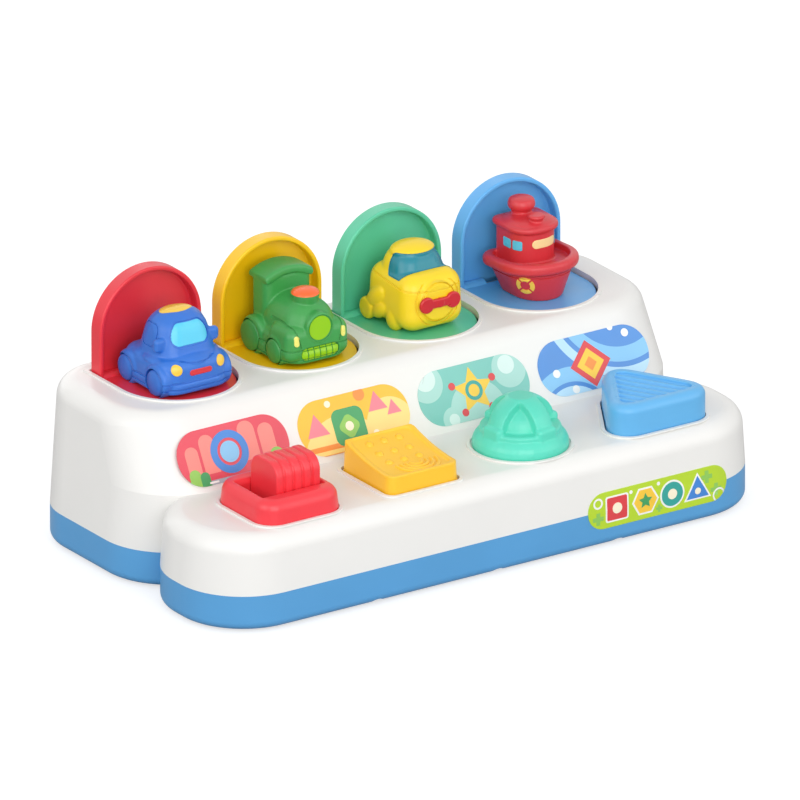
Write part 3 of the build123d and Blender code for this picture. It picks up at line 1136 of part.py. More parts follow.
def train():
    end = TRAIN_L / 2
    skirt = lobe(TRAIN_W / 2 - WHEEL_PROUD, -end, end, TRAIN_NOSE_R, TRAIN_TAIL_R)
    skirt = rounded_body(skirt, TRAIN_GROUND, TRAIN_SKIRT_H, TRAIN_SKIRT_R)
    cab_y = end - TRAIN_CAB_L / 2
    cab_z = TRAIN_GROUND + TRAIN_SKIRT_H / 2
    cab_h = TRAIN_H - cab_z - TRAIN_ROOF_R
    arch_z = TRAIN_H - TRAIN_ROOF_ARCH_R
    cab = soft_box(TRAIN_CAB_W, TRAIN_CAB_L, cab_h, cab_z, TRAIN_CAB_R, y=cab_y)
    cab &= pipe_y(0, -end, end, arch_z, TRAIN_ROOF_ARCH_R - TRAIN_ROOF_R)
    vault = pipe_y(0, end - TRAIN_ROOF_L, end, arch_z, TRAIN_ROOF_ARCH_R)
    inner = pipe_y(0, -end, TRAIN_L, arch_z, TRAIN_ROOF_ARCH_R - TRAIN_ROOF_T)
    roof = (vault & box(-TRAIN_ROOF_W / 2, TRAIN_ROOF_W / 2, -TRAIN_L, TRAIN_L, arch_z, TRAIN_H)) - inner
    roof = fillet(roof.faces().sort_by(Axis.Z)[-1].edges(), TRAIN_ROOF_R)
    boiler_y = TRAIN_BOILER_IN - end
    boiler = pipe_y(0, boiler_y, cab_y, TRAIN_BOILER_Z, TRAIN_BOILER_R)
    plate = pipe_y(0, boiler_y - TRAIN_PLATE_T, boiler_y + TRAIN_PLATE_T, TRAIN_BOILER_Z, TRAIN_PLATE_R)
    stack = post(0, -TRAIN_STACK_Y, TRAIN_BOILER_Z, TRAIN_STACK_H - TRAIN_CAP_H / 2, TRAIN_STACK_R)
    cap = post(0, -TRAIN_STACK_Y, TRAIN_STACK_H - TRAIN_CAP_H, TRAIN_STACK_H, TRAIN_CAP_R)
    cap = fillet(cap.edges(), TRAIN_CAP_EDGE)
    rolling = wheels(TRAIN_W, TRAIN_REAR_WHEEL_Y, TRAIN_WHEEL_R, TRAIN_WHEEL_T)
    rolling += wheels(TRAIN_W, -TRAIN_STACK_Y, TRAIN_FRONT_WHEEL_R, TRAIN_WHEEL_T)
    return skirt + cab + roof + boiler + plate + stack + cap + rolling


def submarine():
    front = -SUB_L / 2
    hull = soft_box(SUB_HULL_W, SUB_L - SUB_NOSE, SUB_HULL_H, SUB_GROUND, SUB_HULL_R, y=SUB_NOSE / 2)
    tower = soft_box(SUB_TOWER_W, SUB_TOWER_L, SUB_H - SUB_TOWER_Z, SUB_TOWER_Z, SUB_TOWER_R,
                     y=SUB_TOWER_BACK)
    sides = ((SUB_FIN_T - SUB_W) / 2, (SUB_W - SUB_FIN_T) / 2)
    fins = [axle(x - SUB_FIN_T / 2, x + SUB_FIN_T / 2, SUB_FIN_Y, SUB_FIN_Z, SUB_FIN_R) for x in sides]
    fins += [axle(x - SUB_FIN_T / 2, x + SUB_FIN_T / 2, SUB_POD_Y, SUB_POD_Z, SUB_POD_R) for x in sides]
    nose = pipe_y(0, front + SUB_NOSE / 2, front + SUB_NOSE / 2 + SUB_RING_T, SUB_AXIS_Z, SUB_RING_R)
    blades = soft_box(SUB_BLADE_W, SUB_NOSE, SUB_BLADE_H, SUB_AXIS_Z - SUB_BLADE_H / 2, SUB_BLADE_R,
                      y=front + SUB_NOSE / 2)
    keels = [soft_box(SUB_KEEL_W, SUB_KEEL_L, SUB_KEEL_H, 0, SUB_KEEL_R, x=x)
             for x in (-SUB_KEEL_X, SUB_KEEL_X)]
    return hull + tower + fins + nose + blades + keels


def boat_outline(shrink):
    half = BOAT_W / 2 - shrink
    return lobe(half, shrink - BOAT_L / 2, BOAT_L / 2 - shrink, half * BOAT_BOW, half * BOAT_STERN)


def cabin_outline(grow):
    half = BOAT_CABIN_W / 2 + grow
    reach = BOAT_CABIN_L / 2 + grow
    return lobe(half, BOAT_CABIN_BACK - reach, BOAT_CABIN_BACK + reach, BOAT_CABIN_BOW_R + grow,
                BOAT_CABIN_STERN_R + grow)


def boat():
    rail_z = BOAT_DECK_H - BOAT_RAIL_H
    hull = loft([boat_outline(BOAT_FLARE), Pos(0, 0, rail_z) * boat_outline(BOAT_RAIL_OUT)], ruled=True)
    rail = rounded_body(boat_outline(0), rail_z, BOAT_RAIL_H, BOAT_RAIL_R)
    cabin = extrude(Pos(0, 0, rail_z) * cabin_outline(0), BOAT_ROOF_H - BOAT_LIP_T / 2 - rail_z)
    lip = rounded_body(cabin_outline(BOAT_LIP), BOAT_ROOF_H - BOAT_LIP_T, BOAT_LIP_T, BOAT_LIP_R)
    cap_z = BOAT_H - BOAT_CAP_H
    funnel = post(0, BOAT_FUNNEL_BACK, BOAT_ROOF_H - BOAT_LIP_T, BOAT_H - BOAT_CAP_EDGE, BOAT_FUNNEL_R)
    cap = fillet(post(0, BOAT_FUNNEL_BACK, cap_z, BOAT_H, BOAT_CAP_R).edges(), BOAT_CAP_EDGE)
    hatch = post(0, -BOAT_HATCH_Y, BOAT_ROOF_H - BOAT_LIP_R, BOAT_ROOF_H + BOAT_HATCH_H, BOAT_HATCH_R)
    return hull + rail + cabin + lip + funnel + cap + hatch


def figure(shape, x, length):
    floor_z = HINGE_Z + FLOOR_TOP
    body = Pos(x, HINGE_Y - FIGURE_BACK - length / 2, floor_z) * shape
    places = [x - FIGURE_SCREW_X, x + FIGURE_SCREW_X]
    bosses = [post(at, figure_screw_y(), floor_z, floor_z + FIGURE_BOSS_H, FIGURE_BOSS_R) for at in places]
    holes = [post(at, figure_screw_y(), floor_z, floor_z + FIGURE_SCREW_GRIP + HOLE_SPARE, SCREW_R + FIT_GAP)
             for at in places]
    return body + bosses - holes


os.makedirs("parts", exist_ok=True)
save("top_shell", top_shell())
save("base_tray", base_tray())
save("feet", *feet())
save("case_screws", *case_screws())
save("hinge_rod", axle(RIB_XS[0] - RIB_W / 2, RIB_XS[-1] + RIB_W / 2, HINGE_Y, HINGE_Z, ROD_R))
save("hinge_keepers", *hinge_keepers())
save("keeper_screws", *keeper_screws())
save("leaf_screws", *[screw(x, LEAF_SCREW_Y, LEAF_Z, LEAF_T + LEAF_SCREW_GRIP, False) for x in UNITS])
save("release_bridge", release_bridge())
strap_z = BAR_TOP_Z + BAR_GAP + BRIDGE_T
save("bridge_screws", *[screw(x, BRIDGE_Y, strap_z, BRIDGE_T + BRIDGE_SCREW_GRIP, False)
                        for x in bridge_posts()])
for number, x in enumerate(UNITS, 1):
    save(f"door_spring_{number}", door_spring(x))
    save(f"catch_leaf_{number}", catch_leaf(x))
    save(f"release_spring_{number}", release_spring(x))
    save(f"panel_label_{number}", panel_label(x))
save("front_label", front_label())

leaf_door = door()
names = (("red", "car"), ("yellow", "train"), ("green", "submarine"), ("blue", "boat"))
shapes = ((car(), CAR_L), (train(), TRAIN_L), (submarine(), SUB_L), (boat(), BOAT_L))
for x, (colour, vehicle), (shape, length) in zip(UNITS, names, shapes):
    save(f"{colour}_door", Pos(x, 0, 0) * leaf_door)
    save(f"{vehicle}_figure", figure(shape, x, length))
    save(f"{vehicle}_screws", *figure_screws(x))

save("slide_frame", slide_frame())
save("frame_screws", *frame_screws())
save("slide_block", slide_block())
save("slide_foot", slide_foot())
save("slide_screws", *slide_screws())
save("rocker_key", rocker_key())
save("rocker_pin", rocker_pin())
save("twist_knob", twist_knob())
save("knob_crank", knob_crank())
save("crank_screw", crank_screw())
save("push_button", push_button())
save("button_foot", button_foot())
save("button_screws", *button_screws())
for number, bar in enumerate((slide_bar(), key_bar(), knob_bar(), button_bar()), 1):
    save(f"release_rod_{number}", bar)
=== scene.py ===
import json
import math

import bpy
from mathutils import Matrix, Vector


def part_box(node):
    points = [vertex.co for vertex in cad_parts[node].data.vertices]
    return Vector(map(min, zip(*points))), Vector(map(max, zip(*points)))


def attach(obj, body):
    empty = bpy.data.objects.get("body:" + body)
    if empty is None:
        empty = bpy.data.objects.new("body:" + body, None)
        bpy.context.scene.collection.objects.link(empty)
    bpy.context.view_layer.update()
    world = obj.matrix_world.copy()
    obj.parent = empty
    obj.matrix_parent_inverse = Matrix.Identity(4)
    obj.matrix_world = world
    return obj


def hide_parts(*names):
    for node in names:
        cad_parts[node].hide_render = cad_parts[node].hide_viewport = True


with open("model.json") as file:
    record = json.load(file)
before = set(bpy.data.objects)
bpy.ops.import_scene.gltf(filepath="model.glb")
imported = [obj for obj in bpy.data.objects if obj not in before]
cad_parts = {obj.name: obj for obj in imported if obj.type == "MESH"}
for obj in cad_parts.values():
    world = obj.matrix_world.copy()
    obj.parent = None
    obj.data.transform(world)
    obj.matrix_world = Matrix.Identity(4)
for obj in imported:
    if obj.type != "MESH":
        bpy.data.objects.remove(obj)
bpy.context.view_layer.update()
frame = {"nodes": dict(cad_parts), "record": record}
mm = 0.001
print("frame loaded:", len(frame["nodes"]), "nodes")


# Working habits: pick, edit, finish
def pickOnly(*pieces):
    if bpy.context.mode != "OBJECT":
        bpy.ops.object.mode_set(mode="OBJECT")
    bpy.ops.object.select_all(action="DESELECT")
    for piece in pieces:
        piece.select_set(True)
    if pieces:
        bpy.context.view_layer.objects.active = pieces[0]


def settle(name):
    piece = bpy.context.object
    piece.name = piece.data.name = name
    bpy.ops.object.transform_apply(location=True, rotation=True, scale=True)
    return piece


def addBlock(name, size, middle):
    pickOnly()
    bpy.ops.mesh.primitive_cube_add(size=1, location=Vector(middle) * mm)
    bpy.context.object.scale = Vector(size) * mm
    return settle(name)


turns = {"X": (0, math.pi / 2, 0), "Y": (math.pi / 2, 0, 0), "Z": (0, 0, 0)}


def addDrum(name, radius, length, middle, axis="Z", topRadius=None, sides=64):
    pickOnly()
    bpy.ops.mesh.primitive_cone_add(vertices=sides, radius1=radius * mm, depth=length * mm,
                                    radius2=(radius if topRadius is None else topRadius) * mm,
                                    location=Vector(middle) * mm, rotation=turns[axis])
    return settle(name)


def addBall(name, size, middle):
    pickOnly()
    bpy.ops.mesh.primitive_uv_sphere_add(segments=40, ring_count=20, radius=0.5, location=Vector(middle) * mm)
    bpy.context.object.scale = Vector(size) * mm
    return settle(name)


def addRing(name, radius, wire):
    pickOnly()
    bpy.ops.mesh.primitive_torus_add(major_segments=64, minor_segments=16, major_radius=radius * mm,
                                     minor_radius=wire * mm, location=(0, 0, 0))
    return settle(name)


def editPicked(piece, kind, test):
    pickOnly(piece)
    bpy.ops.object.mode_set(mode="EDIT")
    bpy.ops.mesh.select_mode(type=kind)
    bpy.ops.mesh.select_all(action="DESELECT")
    bpy.ops.object.mode_set(mode="OBJECT")
    mesh = piece.data
    if kind == "FACE":
        for face in mesh.polygons:
            face.select = test(face.center / mm, face.normal)
    else:
        for edge in mesh.edges:
            start, end = [mesh.vertices[i].co / mm for i in edge.vertices]
            edge.select = test((start + end) / 2, (end - start).normalized())
    bpy.ops.object.mode_set(mode="EDIT")


def leaveEdit():
    bpy.ops.object.mode_set(mode="OBJECT")


def bevelPicked(piece, test, radius, segments):
    editPicked(piece, "EDGE", test)
    bpy.ops.mesh.bevel(offset=radius * mm, segments=segments, affect="EDGES")
    leaveEdit()
    return piece


def resizePicked(piece, kind, test, value, centre=(0, 0, 0)):
    editPicked(piece, kind, test)
    bpy.ops.transform.resize(value=value, center_override=Vector(centre) * mm)
    leaveEdit()
    return piece


# What to pick: near is how close to a face counts as on it, mostly how straight counts as along an axis
near, mostly = 0.1, 0.9


def everyFace(at, normal):
    return True


def faceUp(at, normal):
    return normal.z > mostly


def upright(at, along):
    return abs(along.z) > mostly


def upperHalf(at):
    return at.z > 0


def applyModifier(piece, kind, **settings):
    modifier = piece.modifiers.new(kind.title(), kind)
    for key, value in settings.items():
        setattr(modifier, key, value)
    pickOnly(piece)
    bpy.ops.object.modifier_apply(modifier=modifier.name)
    return piece


def roundEdges(piece, radius, segments=5, angle=40):
    return applyModifier(piece, "BEVEL", width=radius * mm, segments=segments, limit_method="ANGLE",
                         angle_limit=math.radians(angle))


def smoothShade(piece, angle=50):
    pickOnly(piece)
    bpy.ops.object.shade_smooth_by_angle(angle=math.radians(angle))
    return piece


def copyOf(piece, name):
    pickOnly(piece)
    bpy.ops.object.duplicate()
    copy = bpy.context.object
    copy.name = copy.data.name = name
    return copy


def joinAs(name, pieces):
    pickOnly(*pieces)
    if len(pieces) > 1:
        bpy.ops.object.join()
    piece = bpy.context.object
    piece.name = piece.data.name = name
    return piece


def trim(piece, tool, how="DIFFERENCE"):
    applyModifier(piece, "BOOLEAN", object=tool, operation=how, solver="MANIFOLD")
    bpy.data.objects.remove(tool)
    return piece


def softBlock(name, size, middle, radius, top=(1, 1), shift=(0, 0)):
    block = addBlock(name, size, middle)
    editPicked(block, "FACE", faceUp)
    centre = (Vector(middle) + Vector((0, 0, size[2] / 2))) * mm
    bpy.ops.transform.resize(value=(*top, 1), center_override=centre)
    bpy.ops.transform.translate(value=Vector((*shift, 0)) * mm)
    leaveEdit()
    return roundEdges(block, radius, segments=8, angle=20)


def softDrum(name, radius, length, middle, axis="Z", edge=1, topRadius=None):
    return roundEdges(addDrum(name, radius, length, middle, axis, topRadius), edge, segments=4)


def castInOne(name, forms, grain, smoothing):
    casting = joinAs(name, forms)
    applyModifier(casting, "REMESH", mode="VOXEL", voxel_size=grain * mm)
    applyModifier(casting, "SMOOTH", factor=0.5, iterations=smoothing)
    pickOnly(casting)
    bpy.ops.object.shade_smooth()
    return casting


def inlay(name, body, cutter, lift):
    skin = copyOf(body, name)
    applyModifier(skin, "DISPLACE", strength=lift * mm, mid_level=0)
    return trim(skin, cutter, "INTERSECT")


def nodeCopy(node, name, weld=0.002):
    copy = copyOf(frame["nodes"][node], name)
    copy.data.materials.clear()
    editPicked(copy, "FACE", everyFace)
    bpy.ops.mesh.remove_doubles(threshold=weld * mm)  # a node's mesh is loose triangles
    leaveEdit()
    return copy


def boxOf(node):
    return [Vector(corner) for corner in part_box(node)]


def middleOf(node):
    low, high = boxOf(node)
    return (low + high) / 2


def overNode(node, z):
    middle = middleOf(node)
    return Vector((middle.x, middle.y, z))


def footOf(node):
    return overNode(node, boxOf(node)[0].z)


def standAt(place, piece):
    pickOnly(piece)
    piece.location = place
    bpy.ops.object.transform_apply(location=True)


def turned(piece, degrees, axis, centre=(0, 0, 0)):
    spin = Matrix.Rotation(math.radians(degrees), 3, axis)
    pickOnly(piece)
    piece.rotation_euler = spin.to_euler()
    piece.location = (Vector(centre) - spin @ Vector(centre)) * mm
    bpy.ops.object.transform_apply(location=True, rotation=True)
    return piece


def roundedBar(name, size, middle, radius, axis="Y", where=lambda at: True):
    index = "XYZ".index(axis)
    return bevelPicked(addBlock(name, size, middle), lambda at, along: abs(along[index]) > mostly
                       and where(at - Vector(middle)), radius, 10)


# A replaced control keeps the lower part of its solid, under the height cutZ
def addLower(piece, node, cutZ):
    low, high = [corner / mm for corner in boxOf(node)]
    lower = nodeCopy(node, "lowerHalf")
    middle = (low + high) / 2
    spare, deep = 9, 90
    keep = addBlock("lowerKeep", (high.x - low.x + spare, high.y - low.y + spare, deep),
                    (middle.x, middle.y, cutZ / mm - deep / 2))
    trim(lower, keep, "INTERSECT")
    return trim(piece, lower, "UNION")


# Colours and finishes
def srgb(code):
    parts = [int(code[i:i + 2], 16) / 255 for i in (1, 3, 5)]
    return tuple(p / 12.92 if p <= 0.04045 else ((p + 0.055) / 1.055) ** 2.4 for p in parts) + (1,)


def addNode(tree, kind, inputs=None, **settings):
    node = tree.nodes.new(kind)
    for key, value in settings.items():
        setattr(node, key, value)
    for socket, value in (inputs or {}).items():
        if isinstance(value, bpy.types.NodeSocket):
            tree.links.new(value, node.inputs[socket])
        else:
            node.inputs[socket].default_value = value
    return node


def plainShader(name):
    material = bpy.data.materials.new(name)
    material.use_nodes = True
    tree = material.node_tree
    return material, tree, tree.nodes["Principled BSDF"]


mouldedLook = {"drift": 0.05, "driftSize": 30, "rough": (0.3, 0.42), "cloudSize": 9, "grainSize": 0.5,
               "grainDepth": 0.004, "grainStrength": 0.5, "coat": 0.12, "coatRough": 0.25}
noiseLow, noiseHigh = 0.3, 0.7  # most of a noise texture lies between these


# Moulded toy plastic: even colour with a slow drift, satin gloss that clouds a little, fine tool grain
def mouldedPlastic(name, code, **changes):
    look = {**mouldedLook, **changes}
    material, tree, shader = plainShader(name)
    spot = addNode(tree, "ShaderNodeTexCoord").outputs["Object"]
    slow = addNode(tree, "ShaderNodeTexNoise",
                   {"Vector": spot, "Scale": 1 / (look["driftSize"] * mm), "Detail": 2.0})
    tone = addNode(tree, "ShaderNodeMapRange",
                   {"Value": slow.outputs["Fac"], "From Min": noiseLow, "From Max": noiseHigh,
                    "To Min": 1 - look["drift"], "To Max": 1 + look["drift"]})
    colour = addNode(tree, "ShaderNodeHueSaturation", {"Value": tone.outputs["Result"], "Color": srgb(code)})
    cloud = addNode(tree, "ShaderNodeTexNoise",
                    {"Vector": spot, "Scale": 1 / (look["cloudSize"] * mm), "Detail": 3.0})
    gloss = addNode(tree, "ShaderNodeMapRange",
                    {"Value": cloud.outputs["Fac"], "From Min": noiseLow, "From Max": noiseHigh,
                     "To Min": look["rough"][0], "To Max": look["rough"][1]})
    grain = addNode(tree, "ShaderNodeTexNoise",
                    {"Vector": spot, "Scale": 1 / (look["grainSize"] * mm), "Detail": 2.0})
    bump = addNode(tree, "ShaderNodeBump",
                   {"Height": grain.outputs["Fac"], "Distance": look["grainDepth"] * mm,
                    "Strength": look["grainStrength"]})
    tree.links.new(colour.outputs["Color"], shader.inputs["Base Color"])
    tree.links.new(gloss.outputs["Result"], shader.inputs["Roughness"])
    tree.links.new(bump.outputs["Normal"], shader.inputs["Normal"])
    shader.inputs["Coat Weight"].default_value = look["coat"]
    shader.inputs["Coat Roughness"].default_value = look["coatRough"]
    return material


steelLook = {"colour": "#b9bbbd", "mottleSize": 1.5, "rough": (0.25, 0.5)}


# Zinc-plated steel: bright grey with soft mottled roughness
def zincSteel(name):
    material, tree, shader = plainShader(name)
    spot = addNode(tree, "ShaderNodeTexCoord").outputs["Object"]
    mottle = addNode(tree, "ShaderNodeTexNoise",
                     {"Vector": spot, "Scale": 1 / (steelLook["mottleSize"] * mm), "Detail": 4.0})
    gloss = addNode(tree, "ShaderNodeMapRange",
                    {"Value": mottle.outputs["Fac"], "To Min": steelLook["rough"][0],
                     "To Max": steelLook["rough"][1]})
    tree.links.new(gloss.outputs["Result"], shader.inputs["Roughness"])
    shader.inputs["Base Color"].default_value = srgb(steelLook["colour"])
    shader.inputs["Metallic"].default_value = 1.0
    return material


vinyl = {"rough": (0.34, 0.46)}  # soft cast vinyl, a little duller than the hard mouldings
film = {"grainSize": 2, "coat": 0.3}  # printed sticker film, smooth under a clear coat
enamel = {"drift": 0.03, "rough": (0.26, 0.38), "coat": 0.2}  # sprayed enamel, glossier than the vinyl
finishes = {
    "white_shell": mouldedPlastic("whiteAbs", "#ecebe8", drift=0.012, driftSize=60),
    "blue_tray": mouldedPlastic("trayBlueAbs", "#569fd6", drift=0.03, driftSize=50),
    "red_lid": mouldedPlastic("lidRedAbs", "#e8323f"),
    "yellow_lid": mouldedPlastic("lidYellowAbs", "#fcc70a", drift=0.03),
    "green_lid": mouldedPlastic("lidTealAbs", "#5ac8a0"),
    "blue_lid": mouldedPlastic("lidBlueAbs", "#5fb0ee", drift=0.03),
    "car_blue": mouldedPlastic("carBlueVinyl", "#2f72d0", **vinyl),
    "train_green": mouldedPlastic("trainGreenVinyl", "#3d9c4b", **vinyl),
    "submarine_yellow": mouldedPlastic("submarineYellowVinyl", "#f9d720", drift=0.025, **vinyl),
    "boat_red": mouldedPlastic("boatRedVinyl", "#d3343d", **vinyl),
    "red_control": mouldedPlastic("sliderRedAbs", "#ee3742"),
    "yellow_control": mouldedPlastic("keyYellowAbs", "#fbc52c", drift=0.025),
    "green_control": mouldedPlastic("knobTealAbs", "#57d6bc"),
    "blue_control": mouldedPlastic("buttonBlueAbs", "#63b3e8", drift=0.03),
    "inner_plastic": mouldedPlastic("innerIvoryAbs", "#e4e2da", drift=0.03, rough=(0.45, 0.6), coat=0.0),
    "foot_rubber": mouldedPlastic("footGreyRubber", "#6a6c6e", rough=(0.7, 0.85), grainDepth=0.02, coat=0.0),
    "steel": zincSteel("zincSteel"),
    "sticker_red": mouldedPlastic("filmRed", "#dd4557", **film),
    "sticker_yellow": mouldedPlastic("filmYellow", "#f6bf2f", drift=0.03, **film),
    "sticker_green": mouldedPlastic("filmTeal", "#79c3b8", **film),
    "sticker_blue": mouldedPlastic("filmBlue", "#4f8fd6", **film),
    "sticker_lime": mouldedPlastic("filmLime", "#b9d92a", drift=0.03, **film),
}
inks = {
    "inkCoral": "#f0897f", "inkSlate": "#a9b4be", "inkLeaf": "#8fc95a", "inkGreen": "#3f9f5f",
    "inkBlue": "#3f86d6", "inkSky": "#86c5ee", "inkPale": "#b9e0f6", "inkWhite": "#f6f6f2",
    "inkButter": "#fbdc86", "inkPink": "#ee8290", "inkOrange": "#f2913a", "inkCream": "#fbf1d6",
    "inkMist": "#a9d8cf", "inkFoam": "#d6ece7", "inkYellow": "#f8ca3c", "inkRed": "#dd3f45",
    "inkTeal": "#2fa39a",
}
paints = {
    "paintGlassBlue": "#55cdee", "paintLampYellow": "#f6c945", "paintBarRed": "#d8343f",
    "paintOrange": "#ff6a2a", "paintLime": "#93cf00", "paintPaleYellow": "#f2ee7a",
    "paintDeepTeal": "#0f8496", "paintBladeRed": "#cc1a24", "paintWindowBlue": "#5cc9ea",
    "paintCream": "#fbe0a0", "paintRingYellow": "#fcd04a",
}
for name, code in inks.items():
    finishes[name] = mouldedPlastic(name, code, drift=0.03, **film)
for name, code in paints.items():
    finishes[name] = mouldedPlastic(name, code, **enamel)


crumbs = {"weld": 0.003, "least": 60, "bulk": 1000}


# Cuts leave slivers: weld points, dissolve flat faces, delete small loose bits of a large mesh
def sweepCrumbs(piece):
    editPicked(piece, "FACE", everyFace)
    bpy.ops.mesh.remove_doubles(threshold=crumbs["weld"] * mm)
    bpy.ops.mesh.dissolve_degenerate(threshold=crumbs["weld"] * mm)
    leaveEdit()
    faces = piece.data.polygons
    island = list(range(len(faces)))
    firstAt = {}

    def rootOf(i):
        while island[i] != i:
            island[i] = island[island[i]]
            i = island[i]
        return i

    for face in faces:
        for edge in face.edge_keys:
            island[rootOf(face.index)] = rootOf(firstAt.setdefault(edge, face.index))
    count = {}
    for i in range(len(faces)):
        count[rootOf(i)] = count.get(rootOf(i), 0) + 1
    if max(count.values()) < crumbs["bulk"] or min(count.values()) >= crumbs["least"]:
        return
    editPicked(piece, "FACE", lambda at, normal: False)
    leaveEdit()
    for i in range(len(faces)):
        piece.data.polygons[i].select = count[rootOf(i)] < crumbs["least"]
    bpy.ops.object.mode_set(mode="EDIT")
    bpy.ops.mesh.delete(type="FACE")
    leaveEdit()


def dress(piece, finish, body, replaced=()):
    sweepCrumbs(piece)
    piece.data.materials.clear()
    piece.data.materials.append(finishes[finish])
    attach(piece, body)
    if replaced:
        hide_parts(*replaced)
    return piece


slotOf = {part["node"]: part["material_slot"] for part in frame["record"]["subparts"]}
for node, piece in frame["nodes"].items():
    piece.data.materials.clear()
    piece.data.materials.append(finishes[slotOf[node]])
print("finishes mixed:", len(finishes))

# Light, floor and camera
view = {"turn": -33.98, "lift": 21.78, "target": (-0.83, -2.55, 59.25), "width": 364.7, "distance": 15000,
        "clipEnd": 60}
turn, lift = math.radians(view["turn"]), math.radians(view["lift"])
target = Vector(view["target"]) * mm
away = Vector((math.sin(turn) * math.cos(lift), -math.cos(turn) * math.cos(lift), math.sin(lift)))
pickOnly()
bpy.ops.object.camera_add(location=target + away * view["distance"] * mm,
                          rotation=away.to_track_quat("Z", "Y").to_euler())
camera = bpy.context.object
camera.data.lens = camera.data.sensor_width * view["distance"] / view["width"]
camera.data.clip_end = view["clipEnd"]
scene = bpy.context.scene
scene.camera = camera
scene.view_settings.view_transform = "Standard"

lamps = {
    "keyLamp": {"at": (-700, -1700, 900), "size": 1500, "power": 17.5},
    "fillLamp": {"at": (1300, -1500, 800), "size": 1600, "power": 8},
    "sideLamp": {"at": (-1800, -300, 1000), "size": 1300, "power": 10},
    "backLamp": {"at": (200, 1800, 500), "size": 1600, "power": 8},
}
for name, lamp in lamps.items():
    place = Vector(lamp["at"]) * mm
    bpy.ops.object.light_add(type="AREA", location=place,
                             rotation=place.to_track_quat("Z", "Y").to_euler())
    light = bpy.context.object
    light.name = name
    light.data.size = lamp["size"] * mm
    light.data.energy = lamp["power"]
    light.visible_camera = False  # other views look past the lamps

# The camera and reflections see plain white, and everything else is lit by roomLight
studio = {"room": 0.63, "white": (1, 1, 1, 1), "floorGrey": 0.45, "floorRough": 0.9, "floorGlow": 0.65,
          "floorSize": 40, "floorDrop": 0.02}
scene.world = scene.world or bpy.data.worlds.new("studio")
scene.world.use_nodes = True
sky = scene.world.node_tree
sky.nodes.clear()
path = addNode(sky, "ShaderNodeLightPath")
clear = addNode(sky, "ShaderNodeMath",
                {0: path.outputs["Is Glossy Ray"], 1: path.outputs["Is Transmission Ray"]},
                operation="MAXIMUM")
seen = addNode(sky, "ShaderNodeMath", {0: path.outputs["Is Camera Ray"], 1: clear.outputs[0]},
               operation="MAXIMUM")
roomLight = addNode(sky, "ShaderNodeBackground", {"Color": studio["white"], "Strength": studio["room"]})
backdrop = addNode(sky, "ShaderNodeBackground", {"Color": studio["white"], "Strength": 1.0})
eitherSky = addNode(sky, "ShaderNodeMixShader",
                    {0: seen.outputs[0], 1: roomLight.outputs[0], 2: backdrop.outputs[0]})
addNode(sky, "ShaderNodeOutputWorld", {"Surface": eitherSky.outputs[0]})

pickOnly()
bpy.ops.mesh.primitive_plane_add(size=1, location=(0, 0, -studio["floorDrop"] * mm))
bpy.context.object.scale = (studio["floorSize"], studio["floorSize"], 1)
floor = settle("studioFloor")
floorPaint, floorTree, floorShader = plainShader("studioWhite")
floorShader.inputs["Base Color"].default_value = (studio["floorGrey"],) * 3 + (1,)
floorShader.inputs["Roughness"].default_value = studio["floorRough"]
floorShader.inputs["Emission Color"].default_value = studio["white"]
floorPath = addNode(floorTree, "ShaderNodeLightPath")
floorGlow = addNode(floorTree, "ShaderNodeMath",
                    {0: floorPath.outputs["Is Camera Ray"], 1: studio["floorGlow"]}, operation="MULTIPLY")
floorTree.links.new(floorGlow.outputs[0], floorShader.inputs["Emission Strength"])
floor.data.materials.append(floorPaint)
print("studio set")

# Red slider: soft square frame with a sloped mouth, and a ribbed arch block in its slot
slider = {"wide": 44.5, "tall": 11.5, "corner": 10, "topEdge": 4.6, "draft": 0.95, "slot": (32.1, 22.6),
          "mouth": 1.3, "mouthDeep": 2.2, "grain": 0.36, "smoothing": 8, "block": (25.4, 22, 24.2),
          "arch": 7.2, "ribs": 5, "ribEdge": 0.9, "groove": 1.1, "grooveShare": 0.4, "sunk": 1.0,
          "proud": 2.4, "blockGrain": 0.26, "blockSmoothing": 4, "lap": 2}
deckZ = boxOf("slide_frame")[0].z
wide, tall = slider["wide"], slider["tall"]
slotX, slotY = slider["slot"]
shell = roundedBar("frameBlock", (wide, wide, tall), (0, 0, tall / 2), slider["corner"], "Z")
resizePicked(shell, "FACE", faceUp, (slider["draft"], slider["draft"], 1), (0, 0, tall))
bevelPicked(shell, lambda at, along: at.z > tall - near, slider["topEdge"], 8)
mouth = addBlock("frameMouth", (slotX, slotY, slider["mouthDeep"]),
                 (0, 0, tall - slider["mouthDeep"] / 2 + near))
mouthX, mouthY = [1 + 2 * slider["mouth"] / length for length in slider["slot"]]
resizePicked(mouth, "FACE", faceUp, (mouthX, mouthY, 1), (0, 0, tall))
trim(shell, addBlock("frameSlot", (slotX, slotY, 2 * tall), (0, 0, tall)))
trim(shell, mouth)
sliderFrame = castInOne("slide_frame_moulding", [shell], slider["grain"], slider["smoothing"])
standAt(footOf("slide_frame"), sliderFrame)
dress(sliderFrame, "red_control", "case", replaced=("slide_frame",))

